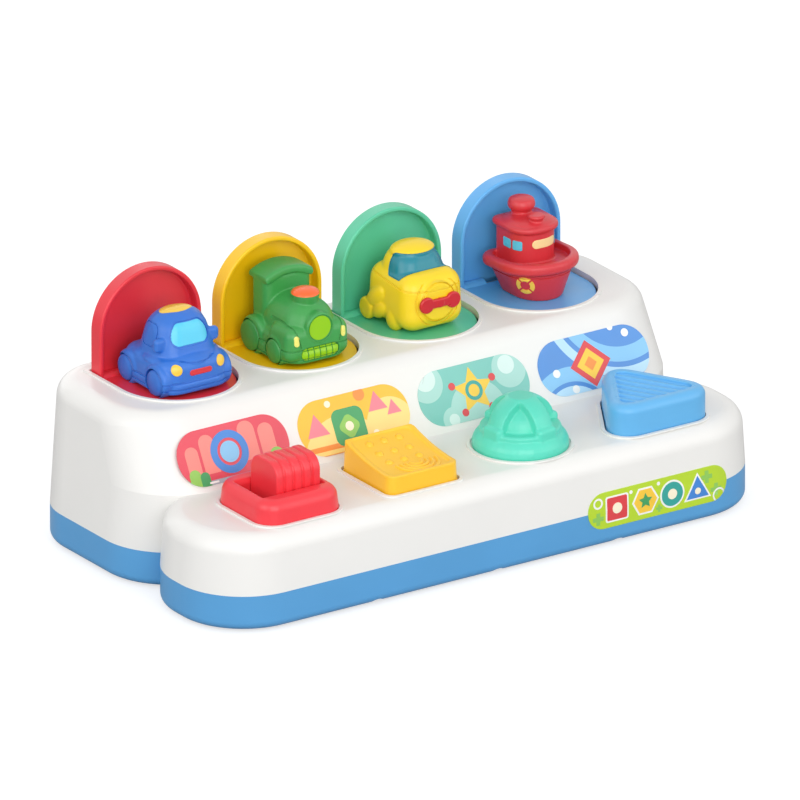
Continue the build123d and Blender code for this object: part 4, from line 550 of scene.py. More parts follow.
blockX, blockY, blockZ = slider["block"]
sunk = slider["sunk"]
ribPitch = (blockX - slider["groove"] * slider["grooveShare"]) / slider["ribs"]
ribs = [roundedBar("blockCore", (blockX - 2 * sunk, blockY - 2 * sunk, blockZ - sunk),
                   (0, 0, (blockZ - sunk) / 2), slider["arch"] - sunk, "X", upperHalf)]
for i in range(slider["ribs"]):
    at = (i - (slider["ribs"] - 1) / 2) * ribPitch
    rib = roundedBar("blockRib", (ribPitch - slider["groove"], blockY, blockZ), (at, 0, blockZ / 2),
                     slider["arch"], "X", upperHalf)
    ribs.append(roundEdges(rib, slider["ribEdge"], segments=3, angle=50))
sliderBlock = castInOne("slide_block_moulding", ribs, slider["blockGrain"], slider["blockSmoothing"])
blockTop = boxOf("slide_block")[1].z
standAt(overNode("slide_block", blockTop + (slider["proud"] - blockZ) * mm), sliderBlock)
addLower(sliderBlock, "slide_block", deckZ + slider["lap"] * mm)
dress(sliderBlock, "red_control", "slider", replaced=("slide_block",))
print("slider done")

# Yellow key: hollowed wedge with a soft border, nine dots and four arcs on top
key = {"wide": 39, "long": 41.5, "front": 9, "back": 16, "sag": 2.1, "corner": 4.5, "lean": 2.5, "skirt": 6,
       "draft": (0.96, 0.95), "border": 3.0, "dish": 1.0, "dot": 2.3, "dotHigh": 1.25, "dotPitch": 8.2,
       "dotBack": 5.0, "arcs": (2.8, 5.4, 8, 10.6), "arcAt": (3, -12), "arcBack": 4, "arcUp": 0.1,
       "arcWire": 0.95, "arcSlope": (-16, -10), "grain": 0.4, "smoothing": 8}
keyTop = (key["front"] + key["back"]) / 2
chord = math.hypot(key["long"], key["back"] - key["front"])
sweepR = chord ** 2 / (8 * key["sag"]) + key["sag"] / 2
tilt = math.atan2(key["back"] - key["front"], key["long"])


def hollowCentre(sunkBy):
    up = sweepR - key["sag"] - sunkBy
    return -up * math.sin(tilt), keyTop + up * math.cos(tilt)


def keyHollow(name, sunkBy):
    return addDrum(name, sweepR, 3 * key["wide"], (0, *hollowCentre(sunkBy)), "X", sides=360)


def keyHeight(y):
    centreY, centreZ = hollowCentre(key["dish"])
    return centreZ - math.sqrt(sweepR ** 2 - (y - centreY) ** 2)


keyHigh = key["back"] + 4
wedge = roundedBar("keyBlock", (key["wide"], key["long"], keyHigh + key["skirt"]),
                   (0, 0, (keyHigh - key["skirt"]) / 2), key["corner"], "Z")
resizePicked(wedge, "FACE", faceUp, (*key["draft"], 1), (0, 0, keyHigh))
trim(wedge, keyHollow("keyHollow", 0))
keyBack = (0, key["long"] / 2, 0)  # the back leans in, so that it clears the opening as the key tips
backLean = math.degrees(math.atan2(key["lean"], key["back"]))
trim(wedge, turned(addBlock("keyBackCut", (60, 20, 60), (0, keyBack[1] + 10, 0)), backLean, "X", keyBack))
inner = roundedBar("keyBorder", (key["wide"] - 2 * key["border"], key["long"] - 2 * key["border"], 60),
                   (0, 0, 20), key["corner"] - 1, "Z")
trim(wedge, trim(inner, keyHollow("keyDish", key["dish"]), "INTERSECT"))
keyPiece = castInOne("rocker_key_moulding", [wedge], key["grain"], key["smoothing"])
for i in (-1, 0, 1):
    for j in (-1, 0, 1):
        x, y = i * key["dotPitch"], key["dotBack"] + j * key["dotPitch"]
        trim(keyPiece, addBall("keyDot", (2 * key["dot"], 2 * key["dot"], 4 * key["dotHigh"]),
                               (x, y, keyHeight(y) - key["dotHigh"])), "UNION")
arcX, arcY = key["arcAt"]
slopeFront, slopeBack = key["arcSlope"]
arcLean = math.degrees(math.atan2(keyHeight(slopeBack) - keyHeight(slopeFront), slopeBack - slopeFront))
for radius in key["arcs"]:
    arc = addRing("keyArc", radius, key["arcWire"])
    trim(arc, addBlock("arcHalf", (40, 20, 10), (0, -10, 0)), "INTERSECT")
    turned(arc, arcLean, "X")
    standAt(Vector((arcX, arcY + key["arcBack"], keyHeight(arcY) + key["arcUp"])) * mm, arc)
    trim(keyPiece, arc, "UNION")
standAt(overNode("rocker_key", deckZ), keyPiece)
addLower(keyPiece, "rocker_key", deckZ)
dress(keyPiece, "yellow_control", "rocker", replaced=("rocker_key",))
print("key done")

# Green knob: convex skirt, four bands over a dome, pointed recesses between them
knob = {"radius": 22.3, "skirtHigh": 11, "skirtUp": 2, "dome": 17.8, "recess": 3.7, "tall": 24.5,
        "domeUp": 8, "band": 9.6, "pad": (11.4, 5, 8), "padAt": 16.6, "padUp": 9, "padEdge": 2,
        "flatTop": 24.1, "rest": 9, "crown": 7.2, "collar": 18.8, "collarUp": 8.8, "grain": 0.38,
        "smoothing": 5, "lap": 1}


def knobDome(name, shrink):
    high = knob["tall"] - knob["domeUp"] + 0.5 - shrink
    return addBall(name, (2 * (knob["dome"] - shrink),) * 2 + (2 * high,), (0, 0, knob["domeUp"]))


def keepDrum(form, radius, length, middleZ):
    return trim(form, addDrum("knobKeep", radius, length, (0, 0, middleZ)), "INTERSECT")


skirt = addBall("knobSkirt", (2 * knob["radius"], 2 * knob["radius"], 2 * knob["skirtHigh"]),
                (0, 0, knob["skirtUp"]))
forms = [keepDrum(skirt, knob["radius"] - 0.05, 20, 10.3),
         softDrum("knobFoot", knob["radius"], 2.4, (0, 0, 1.5), "Z", 0.6),
         keepDrum(knobDome("knobDome", knob["recess"]), 30, 30, 16),
         softDrum("knobStep", knob["collar"], 3, (0, 0, knob["collarUp"]), "Z", 1.2)]
for angle in (knob["rest"], knob["rest"] + 90):
    bar = turned(addBlock("knobBar", (knob["band"], 60, 40), (0, 0, 21)), angle, "Z")
    forms.append(trim(knobDome("knobBand", 0), bar, "INTERSECT"))
    for way in (-1, 1):
        pad = softBlock("knobPad", knob["pad"], (0, way * knob["padAt"], knob["padUp"]), knob["padEdge"])
        forms.append(turned(pad, angle, "Z"))
forms.append(keepDrum(knobDome("knobCrown", 0), knob["crown"], 20, 20))
knobPiece = castInOne("twist_knob_moulding", forms, knob["grain"], knob["smoothing"])
trim(knobPiece, addBlock("knobTopCut", (30, 30, 10), (0, 0, knob["flatTop"] + 5)))
standAt(overNode("twist_knob", deckZ), knobPiece)
addLower(knobPiece, "twist_knob", deckZ + knob["lap"] * mm)
dress(knobPiece, "green_control", "knob", replaced=("twist_knob",))
print("knob done")

# Blue button: rounded triangle with a grooved border and slanted ribs
button = {"side": 30, "corner": 10, "cornerCut": 1.9, "tall": 15, "skirt": 4, "edge": 4, "rim": 5.4,
          "deep": 1.9, "ribs": 6, "ribWide": 1.8, "ribHigh": 1.5, "ribEdge": 0.5, "ribTurn": 120,
          "groove": 0.6, "grooveIn": 4.4, "grooveDeep": 0.5, "grain": 0.36, "smoothing": 5, "lap": -1}


def buttonTriangle(name, inset, low, high):
    reach = button["side"] / math.sqrt(3) + 2 * (button["corner"] - inset)
    pickOnly()
    bpy.ops.mesh.primitive_cylinder_add(vertices=3, radius=reach * mm, depth=(high - low) * mm,
                                        location=(0, 0, (low + high) / 2 * mm))
    return bevelPicked(settle(name), upright, button["cornerCut"] * (button["corner"] - inset), 24)


top = button["tall"]
bed = top - button["deep"]
body = buttonTriangle("buttonBlock", 0, -button["skirt"], top)
bevelPicked(body, lambda at, along: at.z > top - near, button["edge"], 8)
groove = buttonTriangle("buttonGroove", button["grooveIn"], top - button["grooveDeep"], top + 1)
trim(groove, buttonTriangle("buttonGrooveIn", button["grooveIn"] + button["groove"], top - 2, top + 2))
trim(body, groove)
trim(body, buttonTriangle("buttonPocket", button["rim"] + 0.6, bed, top + 1))
pitch = (button["side"] * math.sqrt(3) / 2 + 2 * (button["corner"] - button["rim"])) / (button["ribs"] + 1)
start = -button["side"] / (2 * math.sqrt(3)) - (button["corner"] - button["rim"])
forms = [body]
for i in range(1, button["ribs"] + 1):
    rib = roundedBar("buttonRib", (80, button["ribWide"], button["ribHigh"] + 1),
                     (0, start + i * pitch, bed + (button["ribHigh"] - 1) / 2), button["ribEdge"], "X",
                     upperHalf)
    turned(rib, button["ribTurn"], "Z")
    forms.append(trim(rib, buttonTriangle("ribKeep", button["rim"] + 0.3, top - 4, top + 1), "INTERSECT"))
buttonPiece = castInOne("push_button_moulding", forms, button["grain"], button["smoothing"])
rowLead = button["side"] / math.sqrt(3) + button["corner"]
buttonPlace = overNode("push_button", deckZ)
buttonPlace.y = boxOf("push_button")[1].y - rowLead * mm
standAt(buttonPlace, buttonPiece)
addLower(buttonPiece, "push_button", deckZ + button["lap"] * mm)
dress(buttonPiece, "blue_control", "button", replaced=("push_button",))
print("button done")


# Figures: soft forms cast in one, then creases, wheels and paint
crease = {"wide": 0.7, "deep": 0.45, "faint": 0.4}
wheelDish = ((0.16, 0.22), (0.2, 0.16), (0.2, 0.08))  # each step inwards: share of the radius, depth


# A pod has a round front and softer back corners
def podBlock(name, size, middle, front, back):
    pod = roundedBar(name, size, middle, front, "Z", lambda at: at.y < 0)
    rear = middle[1] + size[1] / 2
    return bevelPicked(pod, lambda at, along: upright(at, along) and at.y > rear - near, back, 8)


def softPod(name, size, middle, front, back, edge, top=1):
    pod = podBlock(name, size, middle, front, back)
    high = middle[2] + size[2] / 2
    resizePicked(pod, "FACE", faceUp, (top, top, 1), (middle[0], middle[1], high))
    return bevelPicked(pod, lambda at, along: at.z > high - near, edge, 6)


def carve(body, cutter, depth):
    core = copyOf(body, "carveCore")
    applyModifier(core, "DISPLACE", strength=-depth * mm, mid_level=0)
    trim(cutter, core)
    return trim(body, cutter)


def hoop(name, size, middle, radius, axis, line):
    outer = roundedBar(name, size, middle, radius, axis)
    index = "XYZ".index(axis)
    within = [s + 4 if i == index else s - 2 * line for i, s in enumerate(size)]
    return trim(outer, roundedBar("hoopHole", within, middle, radius - line, axis))


def wheel(name, radius, width, middle, side):
    disc = softDrum(name, radius, width, middle, "X", 1.5)
    editPicked(disc, "FACE", lambda at, normal: normal.x * side > 0.95)
    for share, depth in wheelDish:
        bpy.ops.mesh.inset(thickness=radius * share * mm, depth=depth * mm)
    leaveEdit()
    return smoothShade(disc)


def wheelPair(name, body, radius, width, outside, y, well=0.6):
    pair = []
    for side in (-1, 1):
        middle = (side * (outside - width / 2), y, radius)
        trim(body, addDrum("wheelWell", radius + well, width + 4, (middle[0] + 2 * side, y, radius), "X"))
        pair.append(wheel(name, radius, width, middle, side))
    return joinAs(name, pair)


def finishFigure(node, body, painted):
    place = footOf(node)
    for piece, finish in painted:
        standAt(place, piece)
        dress(piece, finish, body)
    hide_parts(node)
    print(node, "done")


# Car: domed cabin on a full pebble body, lips round the wheels, two bumper creases
car = {"low": (37.8, 39.8, 15.4), "cabin": (34.5, 31, 27), "cabinTop": (0.72, 0.6), "wheel": 6.3,
       "wheelWide": 5, "outside": 19.1, "frontY": -10.2, "rearY": 13.8, "arch": 8.2, "mirror": (6, 4, 6.4),
       "creases": (7.1, 4.0), "glass": (21.2, 9.8), "glassTop": 0.965, "glassRow": 1.5, "glassZ": 27.1,
       "glassCorner": 4.6, "glassBed": 1.4, "lamp": 2.5, "lampX": 11.9, "lampZ": 13.6, "oval": 8.3,
       "ovalShare": 0.6, "bar": (12, 10, 2.7), "barAt": (0.6, -18, 11.2), "grain": 0.4, "smoothing": 8}
# Each form: its size, its middle, its roundings and the taper of its top
forms = [softPod("carLow", car["low"], (0, 0.1, 9.5), 9.5, 8.5, 4.6, 0.97),
         softPod("carBumper", (38.2, 40.6, 4.6), (0, 0, 4.6), 11.2, 9, 1.3),
         addBall("carHood", (37, 31, 9), (0, -3.6, 15.2)),
         addBall("carTrunk", (36, 24, 9), (0, 7, 15)),
         softBlock("carCabin", car["cabin"], (0, -0.8, 22.9), 10.5, car["cabinTop"], (0, 0.8)),
         addBall("carRoof", (27, 21, 14), (0, 0.2, 29.3))]
for side in (-1, 1):
    for y in (car["frontY"], car["rearY"]):
        forms.append(softDrum("carArch", car["arch"], 7, (side * 15.7, min(y, 12), 7.2), "X", 2))
    forms.append(softBlock("carMirror", car["mirror"], (side * 14.4, -7.8, 23), 1.8))
carBody = castInOne("car_casting", forms, car["grain"], car["smoothing"])
for z in car["creases"]:
    carve(carBody, addBlock("carCrease", (50, 50, crease["wide"]), (0, 0, z)), crease["deep"])
carve(carBody, hoop("carHoodLine", (60, 10, 60), (0, -21, 45.2), 29.5, "Y", 0.6), crease["faint"])
for side in (-1, 1):
    carve(carBody, hoop("carDoorLine", (16, 11.5, 11), (side * 16, 0.6, 26), 4, "X", 0.5), 0.35)
glassX, glassZ = car["glass"]
glassAt = (0, -12, car["glassZ"])


# The pane narrows upwards, a little at each of six rows
def glassCut(name, grow):
    cutter = roundedBar(name, (glassX + grow, 16, glassZ + grow), glassAt, car["glassCorner"] + grow / 2, "Y")
    for row in range(-3, 3):
        above = glassAt[2] + car["glassRow"] * row
        resizePicked(cutter, "EDGE", lambda at, along: abs(along.y) > mostly and at.z > above,
                     (car["glassTop"], 1, 1))
    return cutter


carve(carBody, glassCut("glassBed", car["glassBed"]), 0.35)
windscreen = inlay("car_windscreen", carBody, glassCut("glassPane", 0), 0.12)
roofCut = addDrum("roofCut", car["oval"], 8, (0, 1, 36))
resizePicked(roofCut, "FACE", everyFace, (1, car["ovalShare"], 1))
roofOval = inlay("car_roof_oval", carBody, roofCut, 0.1)
carLamps = [inlay("car_lamp", carBody,
                  addDrum("lampCut", car["lamp"], 10, (side * car["lampX"], -18, car["lampZ"]), "Y"), 0.25)
            for side in (-1, 1)]
painted = [(carBody, "car_blue"), (windscreen, "paintGlassBlue"), (roofOval, "paintLampYellow"),
           (joinAs("car_lamps", carLamps), "paintLampYellow")]
grilleBar = inlay("car_grille_bar", carBody, roundedBar("barCut", car["bar"], car["barAt"], 1.3, "Y"), 0.2)
painted.append((grilleBar, "paintBarRed"))
for name, y in (("car_wheels_front", car["frontY"]), ("car_wheels_rear", car["rearY"])):
    wheels = wheelPair(name, carBody, car["wheel"], car["wheelWide"], car["outside"], y)
    painted.append((wheels, "car_blue"))
finishFigure("car_figure", "red_popup", painted)

# Train: broad humped hood with a disc in a ring, flared stack, narrow cab under an arched roof
train = {"boilerZ": 17.6, "disc": 5.8, "ring": 7, "stackY": -7.3, "capZ": 31, "cap": (13.2, 13.2, 5),
         "roofArch": 26, "roofTop": 39.8, "roof": (26, 14.8), "roofY": 12.4, "roofThick": 3.5,
         "roofEdge": 1.6, "creases": (8.4, 3.4), "hoodCrease": (13.3, -11, 21), "hoodLean": 14,
         "grille": (19.8, 14, 5.4), "grilleAt": (0, -18, 5.9), "grilleBed": 0.5, "gapPitch": 3.3,
         "gapWide": 0.55, "lamp": (2.5, 14, 5), "lampX": 12.7, "lampZ": 13.4, "rearWheel": 7.4,
         "rearY": 12.4, "frontWheel": 5.8, "frontY": -6.9, "wheelWide": 4.6, "outside": 18, "grain": 0.4,
         "smoothing": 8}
forms = [softPod("trainSkirt", (34.6, 39.4, 12.5), (0, 0.3, 8.4), 11, 7, 4.2, 0.96),
         softPod("trainBumper", (35.4, 40.4, 5.2), (0, 0, 4.6), 11.5, 7.5, 1.4),
         softBlock("trainHood", (30, 35, 27), (0, -1.9, 15), 11, (0.82, 0.92)),
         softBlock("trainFender", (35, 20, 17.4), (0, -9.7, 10.2), 5, (0.95, 0.97)),
         softBlock("trainCab", (25, 13.6, 32), (0, 12.4, 22), 4, (1.03, 0.98)),
         softDrum("trainStack", 4.6, 11, (0, train["stackY"], 26), "Z", 0.6, 6.8),
         softDrum("trainPlate", train["ring"] + 0.5, 6, (0, -16.9, train["boilerZ"]), "Y", 1.2)]
for side in (-1, 1):
    forms.append(softDrum("trainRearArch", 9.4, 6.5, (side * 14.4, 11, 7.8), "X", 2.4))
    forms.append(softDrum("trainFrontArch", 7.6, 6.5, (side * 14.4, train["frontY"], 6.4), "X", 2.2))
roofWide, roofLong = train["roof"]
roofAt = (0, train["roofY"], train["roofTop"] - train["roofArch"])
roof = roundEdges(addDrum("trainRoof", train["roofArch"], roofLong, roofAt, "Y", sides=160),
                  train["roofEdge"], segments=4)
trim(roof, addDrum("roofInside", train["roofArch"] - train["roofThick"], 40, roofAt, "Y", sides=160))
trim(roof, roundedBar("roofKeep", (roofWide, 30, 30), (0, train["roofY"], 48), 1.5, "Y"), "INTERSECT")
forms.append(roof)
trainBody = castInOne("train_casting", forms, train["grain"], train["smoothing"])
for z in train["creases"]:
    carve(trainBody, addBlock("trainCrease", (50, 50, crease["wide"]), (0, 0, z)), crease["deep"])
hoodX, hoodY, hoodZ = train["hoodCrease"]
for side in (-1, 1):
    lineAt = (side * hoodX, hoodY, hoodZ)
    line = addBlock("hoodCrease", (crease["wide"], 24, 24), lineAt)
    carve(trainBody, turned(line, train["hoodLean"] * side, "Y", lineAt), crease["faint"])
trim(trainBody, softDrum("plateDish", train["ring"] - 0.6, 3, (0, -20.7, train["boilerZ"]), "Y", 0.3))
grilleX, grilleY, grilleZ = train["grille"]
bedSize = (grilleX + 2 * train["grilleBed"], grilleY, grilleZ + 2 * train["grilleBed"])
carve(trainBody, roundedBar("grilleBed", bedSize, train["grilleAt"], 3.1, "Y"), 0.5)
discCut = addDrum("discCut", train["disc"], 12, (0, -18, train["boilerZ"]), "Y")
painted = [(trainBody, "train_green"), (inlay("train_front_disc", trainBody, discCut, 0.3), "paintLime")]
grilleCut = roundedBar("grilleCut", train["grille"], train["grilleAt"], 2.6, "Y")
grille = inlay("train_grille", trainBody, grilleCut, 0.35)
for i in range(-2, 3):
    gapAt = (i * train["gapPitch"], *train["grilleAt"][1:])
    trim(grille, addBlock("grilleGap", (train["gapWide"], 20, 8), gapAt))
painted.append((grille, "paintLime"))
trainLamps = []
for side in (-1, 1):
    lampCut = roundedBar("lampCut", train["lamp"], (side * train["lampX"], -16, train["lampZ"]), 1.2, "Y")
    trainLamps.append(inlay("train_lamp", trainBody, lampCut, 0.25))
painted.append((joinAs("train_lamps", trainLamps), "paintPaleYellow"))
cap = addBall("train_stack_cap", train["cap"], (0, train["stackY"], train["capZ"]))
trim(cap, addBlock("capKeep", (20, 20, 6), (0, train["stackY"], train["capZ"] + 2.8)), "INTERSECT")
painted.append((smoothShade(roundEdges(cap, 0.5, segments=3)), "paintOrange"))
for name, radius, y in (("train_wheels_rear", train["rearWheel"], train["rearY"]),
                        ("train_wheels_front", train["frontWheel"], train["frontY"])):
    wheels = wheelPair(name, trainBody, radius, train["wheelWide"], train["outside"], y)
    painted.append((wheels, "train_green"))
finishFigure("train_figure", "yellow_popup", painted)

# Submarine: soft square hull, glazed cabin that leans back under a cap, rings and a propeller in front
submarine = {"axis": 15.3, "rings": (12, 9.4), "ringLine": 0.7, "blade": 3.9, "bladeX": 7.2, "bladeY": -19.2,
             "bar": (15, 1.9, 4.4), "hub": 2.3, "bladeGrain": 0.2, "bladeSmoothing": 5, "sill": 25,
             "head": 35.4, "creaseZ": 22.8, "creaseLean": 5, "grain": 0.4, "smoothing": 9}
axisZ = submarine["axis"]
forms = [softBlock("subHull", (33.6, 37.6, 27), (0, 1, 14.4), 7.8, (0.95, 0.95)),
         softBlock("subCabin", (31, 30, 21), (0, 1.8, 27), 8, (0.68, 0.58), (0, 2)),
         addBall("subCap", (22, 18.5, 8), (0, 3.4, 34.4)),
         softDrum("subNose", 9.6, 6, (0, -15.4, axisZ), "Y", 1.2)]
for side in (-1, 1):
    leafUp, leafLow = (side * 15.6, 8.8, 12.8), (side * 15.6, 6, 7)
    forms += [turned(addBall("subLeafUp", (7, 17, 8.5), leafUp), -38, "X", leafUp),
              turned(addBall("subLeafLow", (6.4, 13, 7), leafLow), -36, "X", leafLow),
              softDrum("subDisc", 5.3, 4, (side * 16.9, 14.6, 5.7), "X", 1.6),
              addBlock("subDiscArm", (8, 5, 5), (side * 13, 13.6, 6.4)),
              addBall("subFoot", (8, 10, 12), (side * 13.6, -3, 5.4))]
subBody = castInOne("submarine_casting", forms, submarine["grain"], submarine["smoothing"])
trim(subBody, addBlock("subGround", (60, 60, 10), (0, 0, -5)))
for radius in submarine["rings"]:
    ring = addDrum("noseLine", radius, 8, (0, -19.5, axisZ), "Y", sides=96)
    trim(ring, addDrum("noseLineHole", radius - submarine["ringLine"], 20, (0, -19, axisZ), "Y", sides=96))
    carve(subBody, ring, crease["deep"])
creaseAt = (0, 0, submarine["creaseZ"])
hullCrease = addBlock("hullCrease", (60, 60, crease["wide"]), creaseAt)
carve(subBody, turned(hullCrease, submarine["creaseLean"], "X", creaseAt), crease["faint"])
windowTool = roundedBar("windowCut", (60, 19, submarine["head"] - submarine["sill"]),
                        (0, -6, (submarine["head"] + submarine["sill"]) / 2), 3, "X")
trim(windowTool, addDrum("windowWave", 17, 60, (0, -22, 17), "X", sides=96))
carve(subBody, copyOf(windowTool, "windowBed"), 0.35)
painted = [(subBody, "submarine_yellow"),
           (inlay("submarine_window", subBody, windowTool, 0.2), "paintDeepTeal")]
hubAt = (0, submarine["bladeY"], axisZ)
blades = [softDrum("blade", submarine["blade"], 2, (side * submarine["bladeX"], *hubAt[1:]), "Y", 0.8)
          for side in (-1, 1)]
blades.append(softBlock("bladeBar", submarine["bar"], hubAt, 0.8))
blades.append(softDrum("bladeHub", submarine["hub"], 2.3, hubAt, "Y", 0.7))
propeller = castInOne("submarine_propeller", blades, submarine["bladeGrain"], submarine["bladeSmoothing"])
painted.append((propeller, "paintBladeRed"))
finishFigure("submarine_figure", "green_popup", painted)

# Boat: tug hull whose rolled rail rises to the bow, round-front cabin, funnel and hatch
boat = {"wide": 40.2, "long": 38.8, "front": 0.49, "back": 0.2, "deck": 17.6, "flare": (0.62, 0.74),
        "rail": 5.4, "railEdge": 2.1, "well": 3.2, "wellIn": 4, "sheer": -3.2, "cabin": (22.8, 24),
        "cabinY": 6.4, "cabinFront": 0.46, "cabinBack": 0.2, "roofZ": 31.9, "lip": 1.4, "funnelY": 11.6,
        "top": 42.4, "hatchY": -0.6, "grooves": (11.6, 10.1), "grooveDeep": 0.5, "panes": (-6.6, -0.6),
        "pane": (5, 14, 4.6), "paneZ": 24.4, "paneTurn": 55, "bowPane": (13.4, 12, 4.2),
        "bowPaneAt": (1.6, -6, 25.2), "ring": 4.5, "ringWide": 2.1, "ringZ": 8.4, "ringGap": 0.9,
        "ringTurn": -52, "grain": 0.42, "smoothing": 6}
deck, sheer = boat["deck"], boat["sheer"]
stern = (0, boat["long"] / 2, deck)


def boatSlab(name, shrink, low, high):
    wide, long = boat["wide"] - 2 * shrink, boat["long"] - 2 * shrink
    return podBlock(name, (wide, long, high - low), (0, 0, (low + high) / 2), boat["front"] * wide,
                    boat["back"] * wide)


hull = boatSlab("boatHull", 0.9, 0, deck + 1)
resizePicked(hull, "FACE", lambda at, normal: normal.z < -mostly, (*boat["flare"], 1))
trim(hull, turned(addBlock("hullTop", (60, 60, 20), (0, 0, deck + 8.5)), sheer, "X", stern))
rail = roundEdges(boatSlab("boatRail", 0, deck - boat["rail"], deck), boat["railEdge"], segments=6, angle=60)
boatHull = joinAs("boatShell", [roundEdges(hull, 1.6, segments=4, angle=60), turned(rail, sheer, "X", stern)])
applyModifier(boatHull, "REMESH", mode="VOXEL", voxel_size=boat["grain"] * mm)
trim(boatHull, turned(boatSlab("boatWell", boat["wellIn"], deck - boat["well"], deck + 5), sheer, "X", stern))
cabinX, cabinY = boat["cabin"]
cabinFront, cabinBack = boat["cabinFront"] * cabinX, boat["cabinBack"] * cabinX
lip = 2 * boat["lip"]
roofAt = (0, boat["cabinY"], boat["roofZ"])
roof = podBlock("boatRoof", (cabinX + lip, cabinY + lip, 3), roofAt, cabinFront, cabinBack)
forms = [boatHull,
         softPod("boatCabin", (cabinX, cabinY, 22), (0, boat["cabinY"], 22.6), cabinFront, cabinBack, 1),
         roundEdges(roof, 1.3, segments=4, angle=60),
         addBall("boatRoofDome", (cabinX + 1.5, cabinY + 1.5, 6), (0, boat["cabinY"], boat["roofZ"] + 0.7)),
         softDrum("boatFunnel", 4.4, 10, (0, boat["funnelY"], 36.4), "Z", 0.6, 5.2),
         softDrum("boatFunnelLip", 6.4, 4.6, (0, boat["funnelY"], boat["top"] - 2.9), "Z", 1.9),
         addBall("boatFunnelDome", (12, 12, 3), (0, boat["funnelY"], boat["top"] - 1)),
         softDrum("boatHatchNeck", 3, 4, (0, boat["hatchY"], 35.4), "Z", 0.4),
         softDrum("boatHatch", 4.1, 1.9, (0, boat["hatchY"], 37), "Z", 0.85)]
boatBody = castInOne("boat_casting", forms, boat["grain"], boat["smoothing"])
for z in boat["grooves"]:
    groove = boatSlab("hullGroove", -4, z, z + crease["wide"])
    carve(boatBody, turned(groove, sheer, "X", (stern[0], stern[1], z)), boat["grooveDeep"])
panes = []
for side in (-1, 1):
    for across in boat["panes"]:
        paneAt = (across * -side, boat["cabinY"] - 10, boat["paneZ"])
        pane = roundedBar("paneCut", boat["pane"], paneAt, 0.8, "Y")
        turned(pane, boat["paneTurn"] * side, "Z", (0, boat["cabinY"], 0))
        panes.append(inlay("boat_pane", boatBody, pane, 0.15))
bowCut = roundedBar("bowCut", boat["bowPane"], boat["bowPaneAt"], 2, "Y")
painted = [(boatBody, "boat_red"), (joinAs("boat_windows", panes), "paintWindowBlue"),
           (inlay("boat_bow_pane", boatBody, bowCut, 0.15), "paintCream")]
ringAt = (0, -16, boat["ringZ"])
ring = addDrum("ringCut", boat["ring"], 16, ringAt, "Y")
trim(ring, addDrum("ringHole", boat["ring"] - boat["ringWide"], 20, ringAt, "Y"))
for lean in (45, -45):
    trim(ring, turned(addBlock("ringGap", (boat["ringGap"], 20, 20), ringAt), lean, "Y", ringAt))
lifeRing = inlay("boat_life_ring", boatBody, turned(ring, boat["ringTurn"], "Z"), 0.25)
painted.append((lifeRing, "paintRingYellow"))
finishFigure("boat_figure", "blue_popup", painted)

# Stickers: plain shapes in flat inks on each film, layer over layer
sticker = {"panelLean": 61.3, "frontLean": 90, "lift": 0.05, "layer": 0.04, "deep": 6}


def inkDisc(u, v, radius, sides=48, spin=0):
    disc = addDrum("inkDisc", radius, sticker["deep"], (u, v, 0), "Z", sides=sides)
    return turned(disc, spin, "Z", (u, v, 0))


def inkRing(u, v, radius, wide):
    return trim(inkDisc(u, v, radius, 96), inkDisc(u, v, radius - wide, 96))


def inkBar(u, v, wide, high, radius, spin=0, where=lambda at: True):
    bar = roundedBar("inkBar", (wide, high, sticker["deep"]), (u, v, 0), radius, "Z", where)
    return turned(bar, spin, "Z", (u, v, 0))


def inkArch(u, v, wide, high):
    return inkBar(u, v, wide, high, wide * 0.48, 0, lambda at: at.y > 0)


def inkPlus(u, v, reach):
    bars = [inkBar(u, v, wide * reach, high * reach, 0.1) for wide, high in ((2, 0.7), (0.7, 2))]
    return trim(*bars, "UNION")


def inkStar(u, v, radius):
    def inwards(at, along):
        return upright(at, along) and round(math.atan2(at.x - u, at.y - v) / math.radians(36)) % 2 != 0

    return resizePicked(inkDisc(u, v, radius, 10), "EDGE", inwards, (0.5, 0.5, 1), (u, v, 0))


def printOn(node, lean, layers):
    for i, (ink, cutters) in enumerate(layers):
        tool = cutters[0]
        for cutter in cutters[1:]:
            trim(tool, cutter, "UNION")
        turned(tool, lean, "X")
        standAt(middleOf(node), tool)
        skin = nodeCopy(node, "%s_print_%d" % (node, i + 1))
        applyModifier(skin, "DISPLACE", strength=(sticker["lift"] + i * sticker["layer"]) * mm, mid_level=0)
        dress(trim(skin, tool, "INTERSECT"), ink, "case")


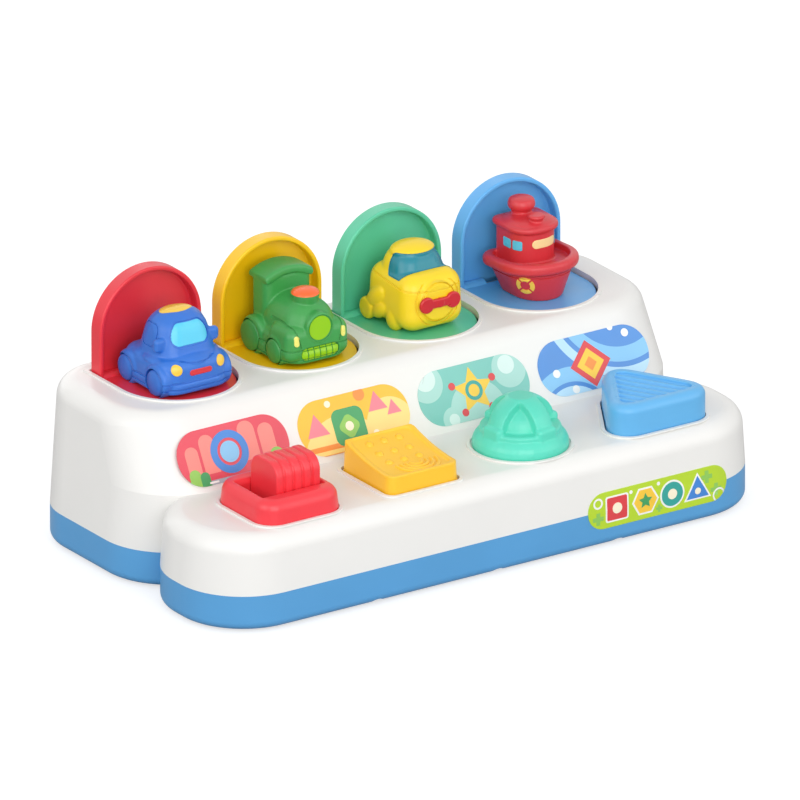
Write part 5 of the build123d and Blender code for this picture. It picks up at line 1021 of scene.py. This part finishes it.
printOn("panel_label_1", sticker["panelLean"], [
    ("inkCoral", [inkArch(u, v, w, 18) for u, v, w in ((-22, -3, 7), (-13, 1, 8), (9, 3, 9), (19, 0, 8))]),
    ("inkSlate", [inkBar(0, -15.5, 80, 9, 0.5)]),
    ("inkLeaf", [inkArch(-23, -9, 6, 9), inkArch(22, -8, 7, 10)]),
    ("inkGreen", [inkArch(-18, -10, 5, 7), inkArch(16, -9, 6, 8)]),
    ("inkBlue", [inkRing(-2, 0, 10, 3.6)]),
    ("inkSky", [inkDisc(-2, 0, 5)]),
    ("inkWhite", [inkBar(u, -12, 5, 0.9, 0.4) for u in (-14, -2, 10)]),
])
printOn("panel_label_2", sticker["panelLean"], [
    ("inkButter", [inkDisc(-8, -19, 23), inkDisc(19, -6, 13)]),
    ("inkPink", [inkDisc(u, v, r, 3) for u, v, r in ((-20, 0, 7), (14, 5, 6), (22, 1, 4.5))]),
    ("inkOrange", [inkBar(-18, -14, 26, 2.4, 0.6), inkBar(-18, -9.6, 26, 2.4, 0.6), inkDisc(6, 11, 3)]),
    ("inkGreen", [inkBar(-3, -2, 17, 17, 4)]),
    ("inkLeaf", [inkBar(-3, -2, 9, 9, 2.4, 45)]),
    ("inkCream", [inkDisc(-3, -2, 2.2), inkDisc(10, -8, 1.6), inkDisc(-11.6, 10, 1.6)]),
])
printOn("panel_label_3", sticker["panelLean"], [
    ("inkMist", [inkDisc(-24, 8, 9), inkDisc(0, -10, 15), inkDisc(21, 6, 9), inkDisc(-14, -11, 6)]),
    ("inkFoam", [inkDisc(-24, 10, 5.6), inkDisc(20, 8, 4.4), inkDisc(-14, -11, 2.8), inkDisc(12, -12, 2.2)]),
    ("inkYellow", [inkStar(0, 0, 11)]),
    ("inkRed", [inkDisc(-11, 4, 1.8), inkDisc(11, 4, 1.8), inkDisc(-7.4, -9, 1.8), inkDisc(7.4, -9, 1.8)]),
    ("inkTeal", [inkRing(0, 0, 4.6, 1.7)]),
])
printOn("panel_label_4", sticker["panelLean"], [
    ("inkSky", [inkRing(-16, -27, 27, 7), inkRing(19, 29, 33, 7)]),
    ("inkPale", [inkRing(-16, -27, 18, 5), inkRing(19, 29, 40, 4.5)]),
    ("inkWhite", [inkDisc(-21, -2, 1.9), inkDisc(20, 9, 1.9), inkDisc(-13, -11, 1.9), inkDisc(13, 13, 1.5)]),
    ("inkRed", [inkDisc(-2, -1, 11, 4)]),
    ("inkYellow", [inkDisc(-2, -1, 7.4, 4)]),
    ("inkOrange", [inkDisc(-2, -1, 3.4, 4)]),
])
printOn("front_label", sticker["frontLean"], [
    ("inkLeaf", [inkPlus(-33, -3.5, 3), inkPlus(0.6, -5.4, 1.8), inkPlus(27, 4, 3), inkPlus(32, -3, 3)]),
    ("inkWhite", [inkRing(-33, 4, 2.6, 0.9), inkBar(-22.6, 0, 12.6, 12.6, 1.2), inkDisc(-7, 0, 7.4, 6, 30),
                  inkDisc(7.8, 0, 6.7), inkDisc(21.8, -1.4, 8.6, 3), inkDisc(-14.8, 5.8, 0.9),
                  inkDisc(0.4, 6.6, 0.9), inkRing(33.6, -6, 3.4, 0.8)]),
    ("inkRed", [inkBar(-22.6, 0, 11, 11, 0.8)]),
    ("inkYellow", [inkDisc(-7, 0, 6.4, 6, 30)]),
    ("inkTeal", [inkDisc(7.8, 0, 5.8)]),
    ("inkBlue", [inkDisc(21.8, -1.4, 7, 3)]),
    ("inkGreen", [inkStar(-7, 0, 3.8)]),
    ("inkCream", [inkDisc(-22.6, 0, 2.6), inkDisc(7.8, 0, 2.5), inkDisc(21.8, -1.6, 1.6)]),
])
print("stickers printed")
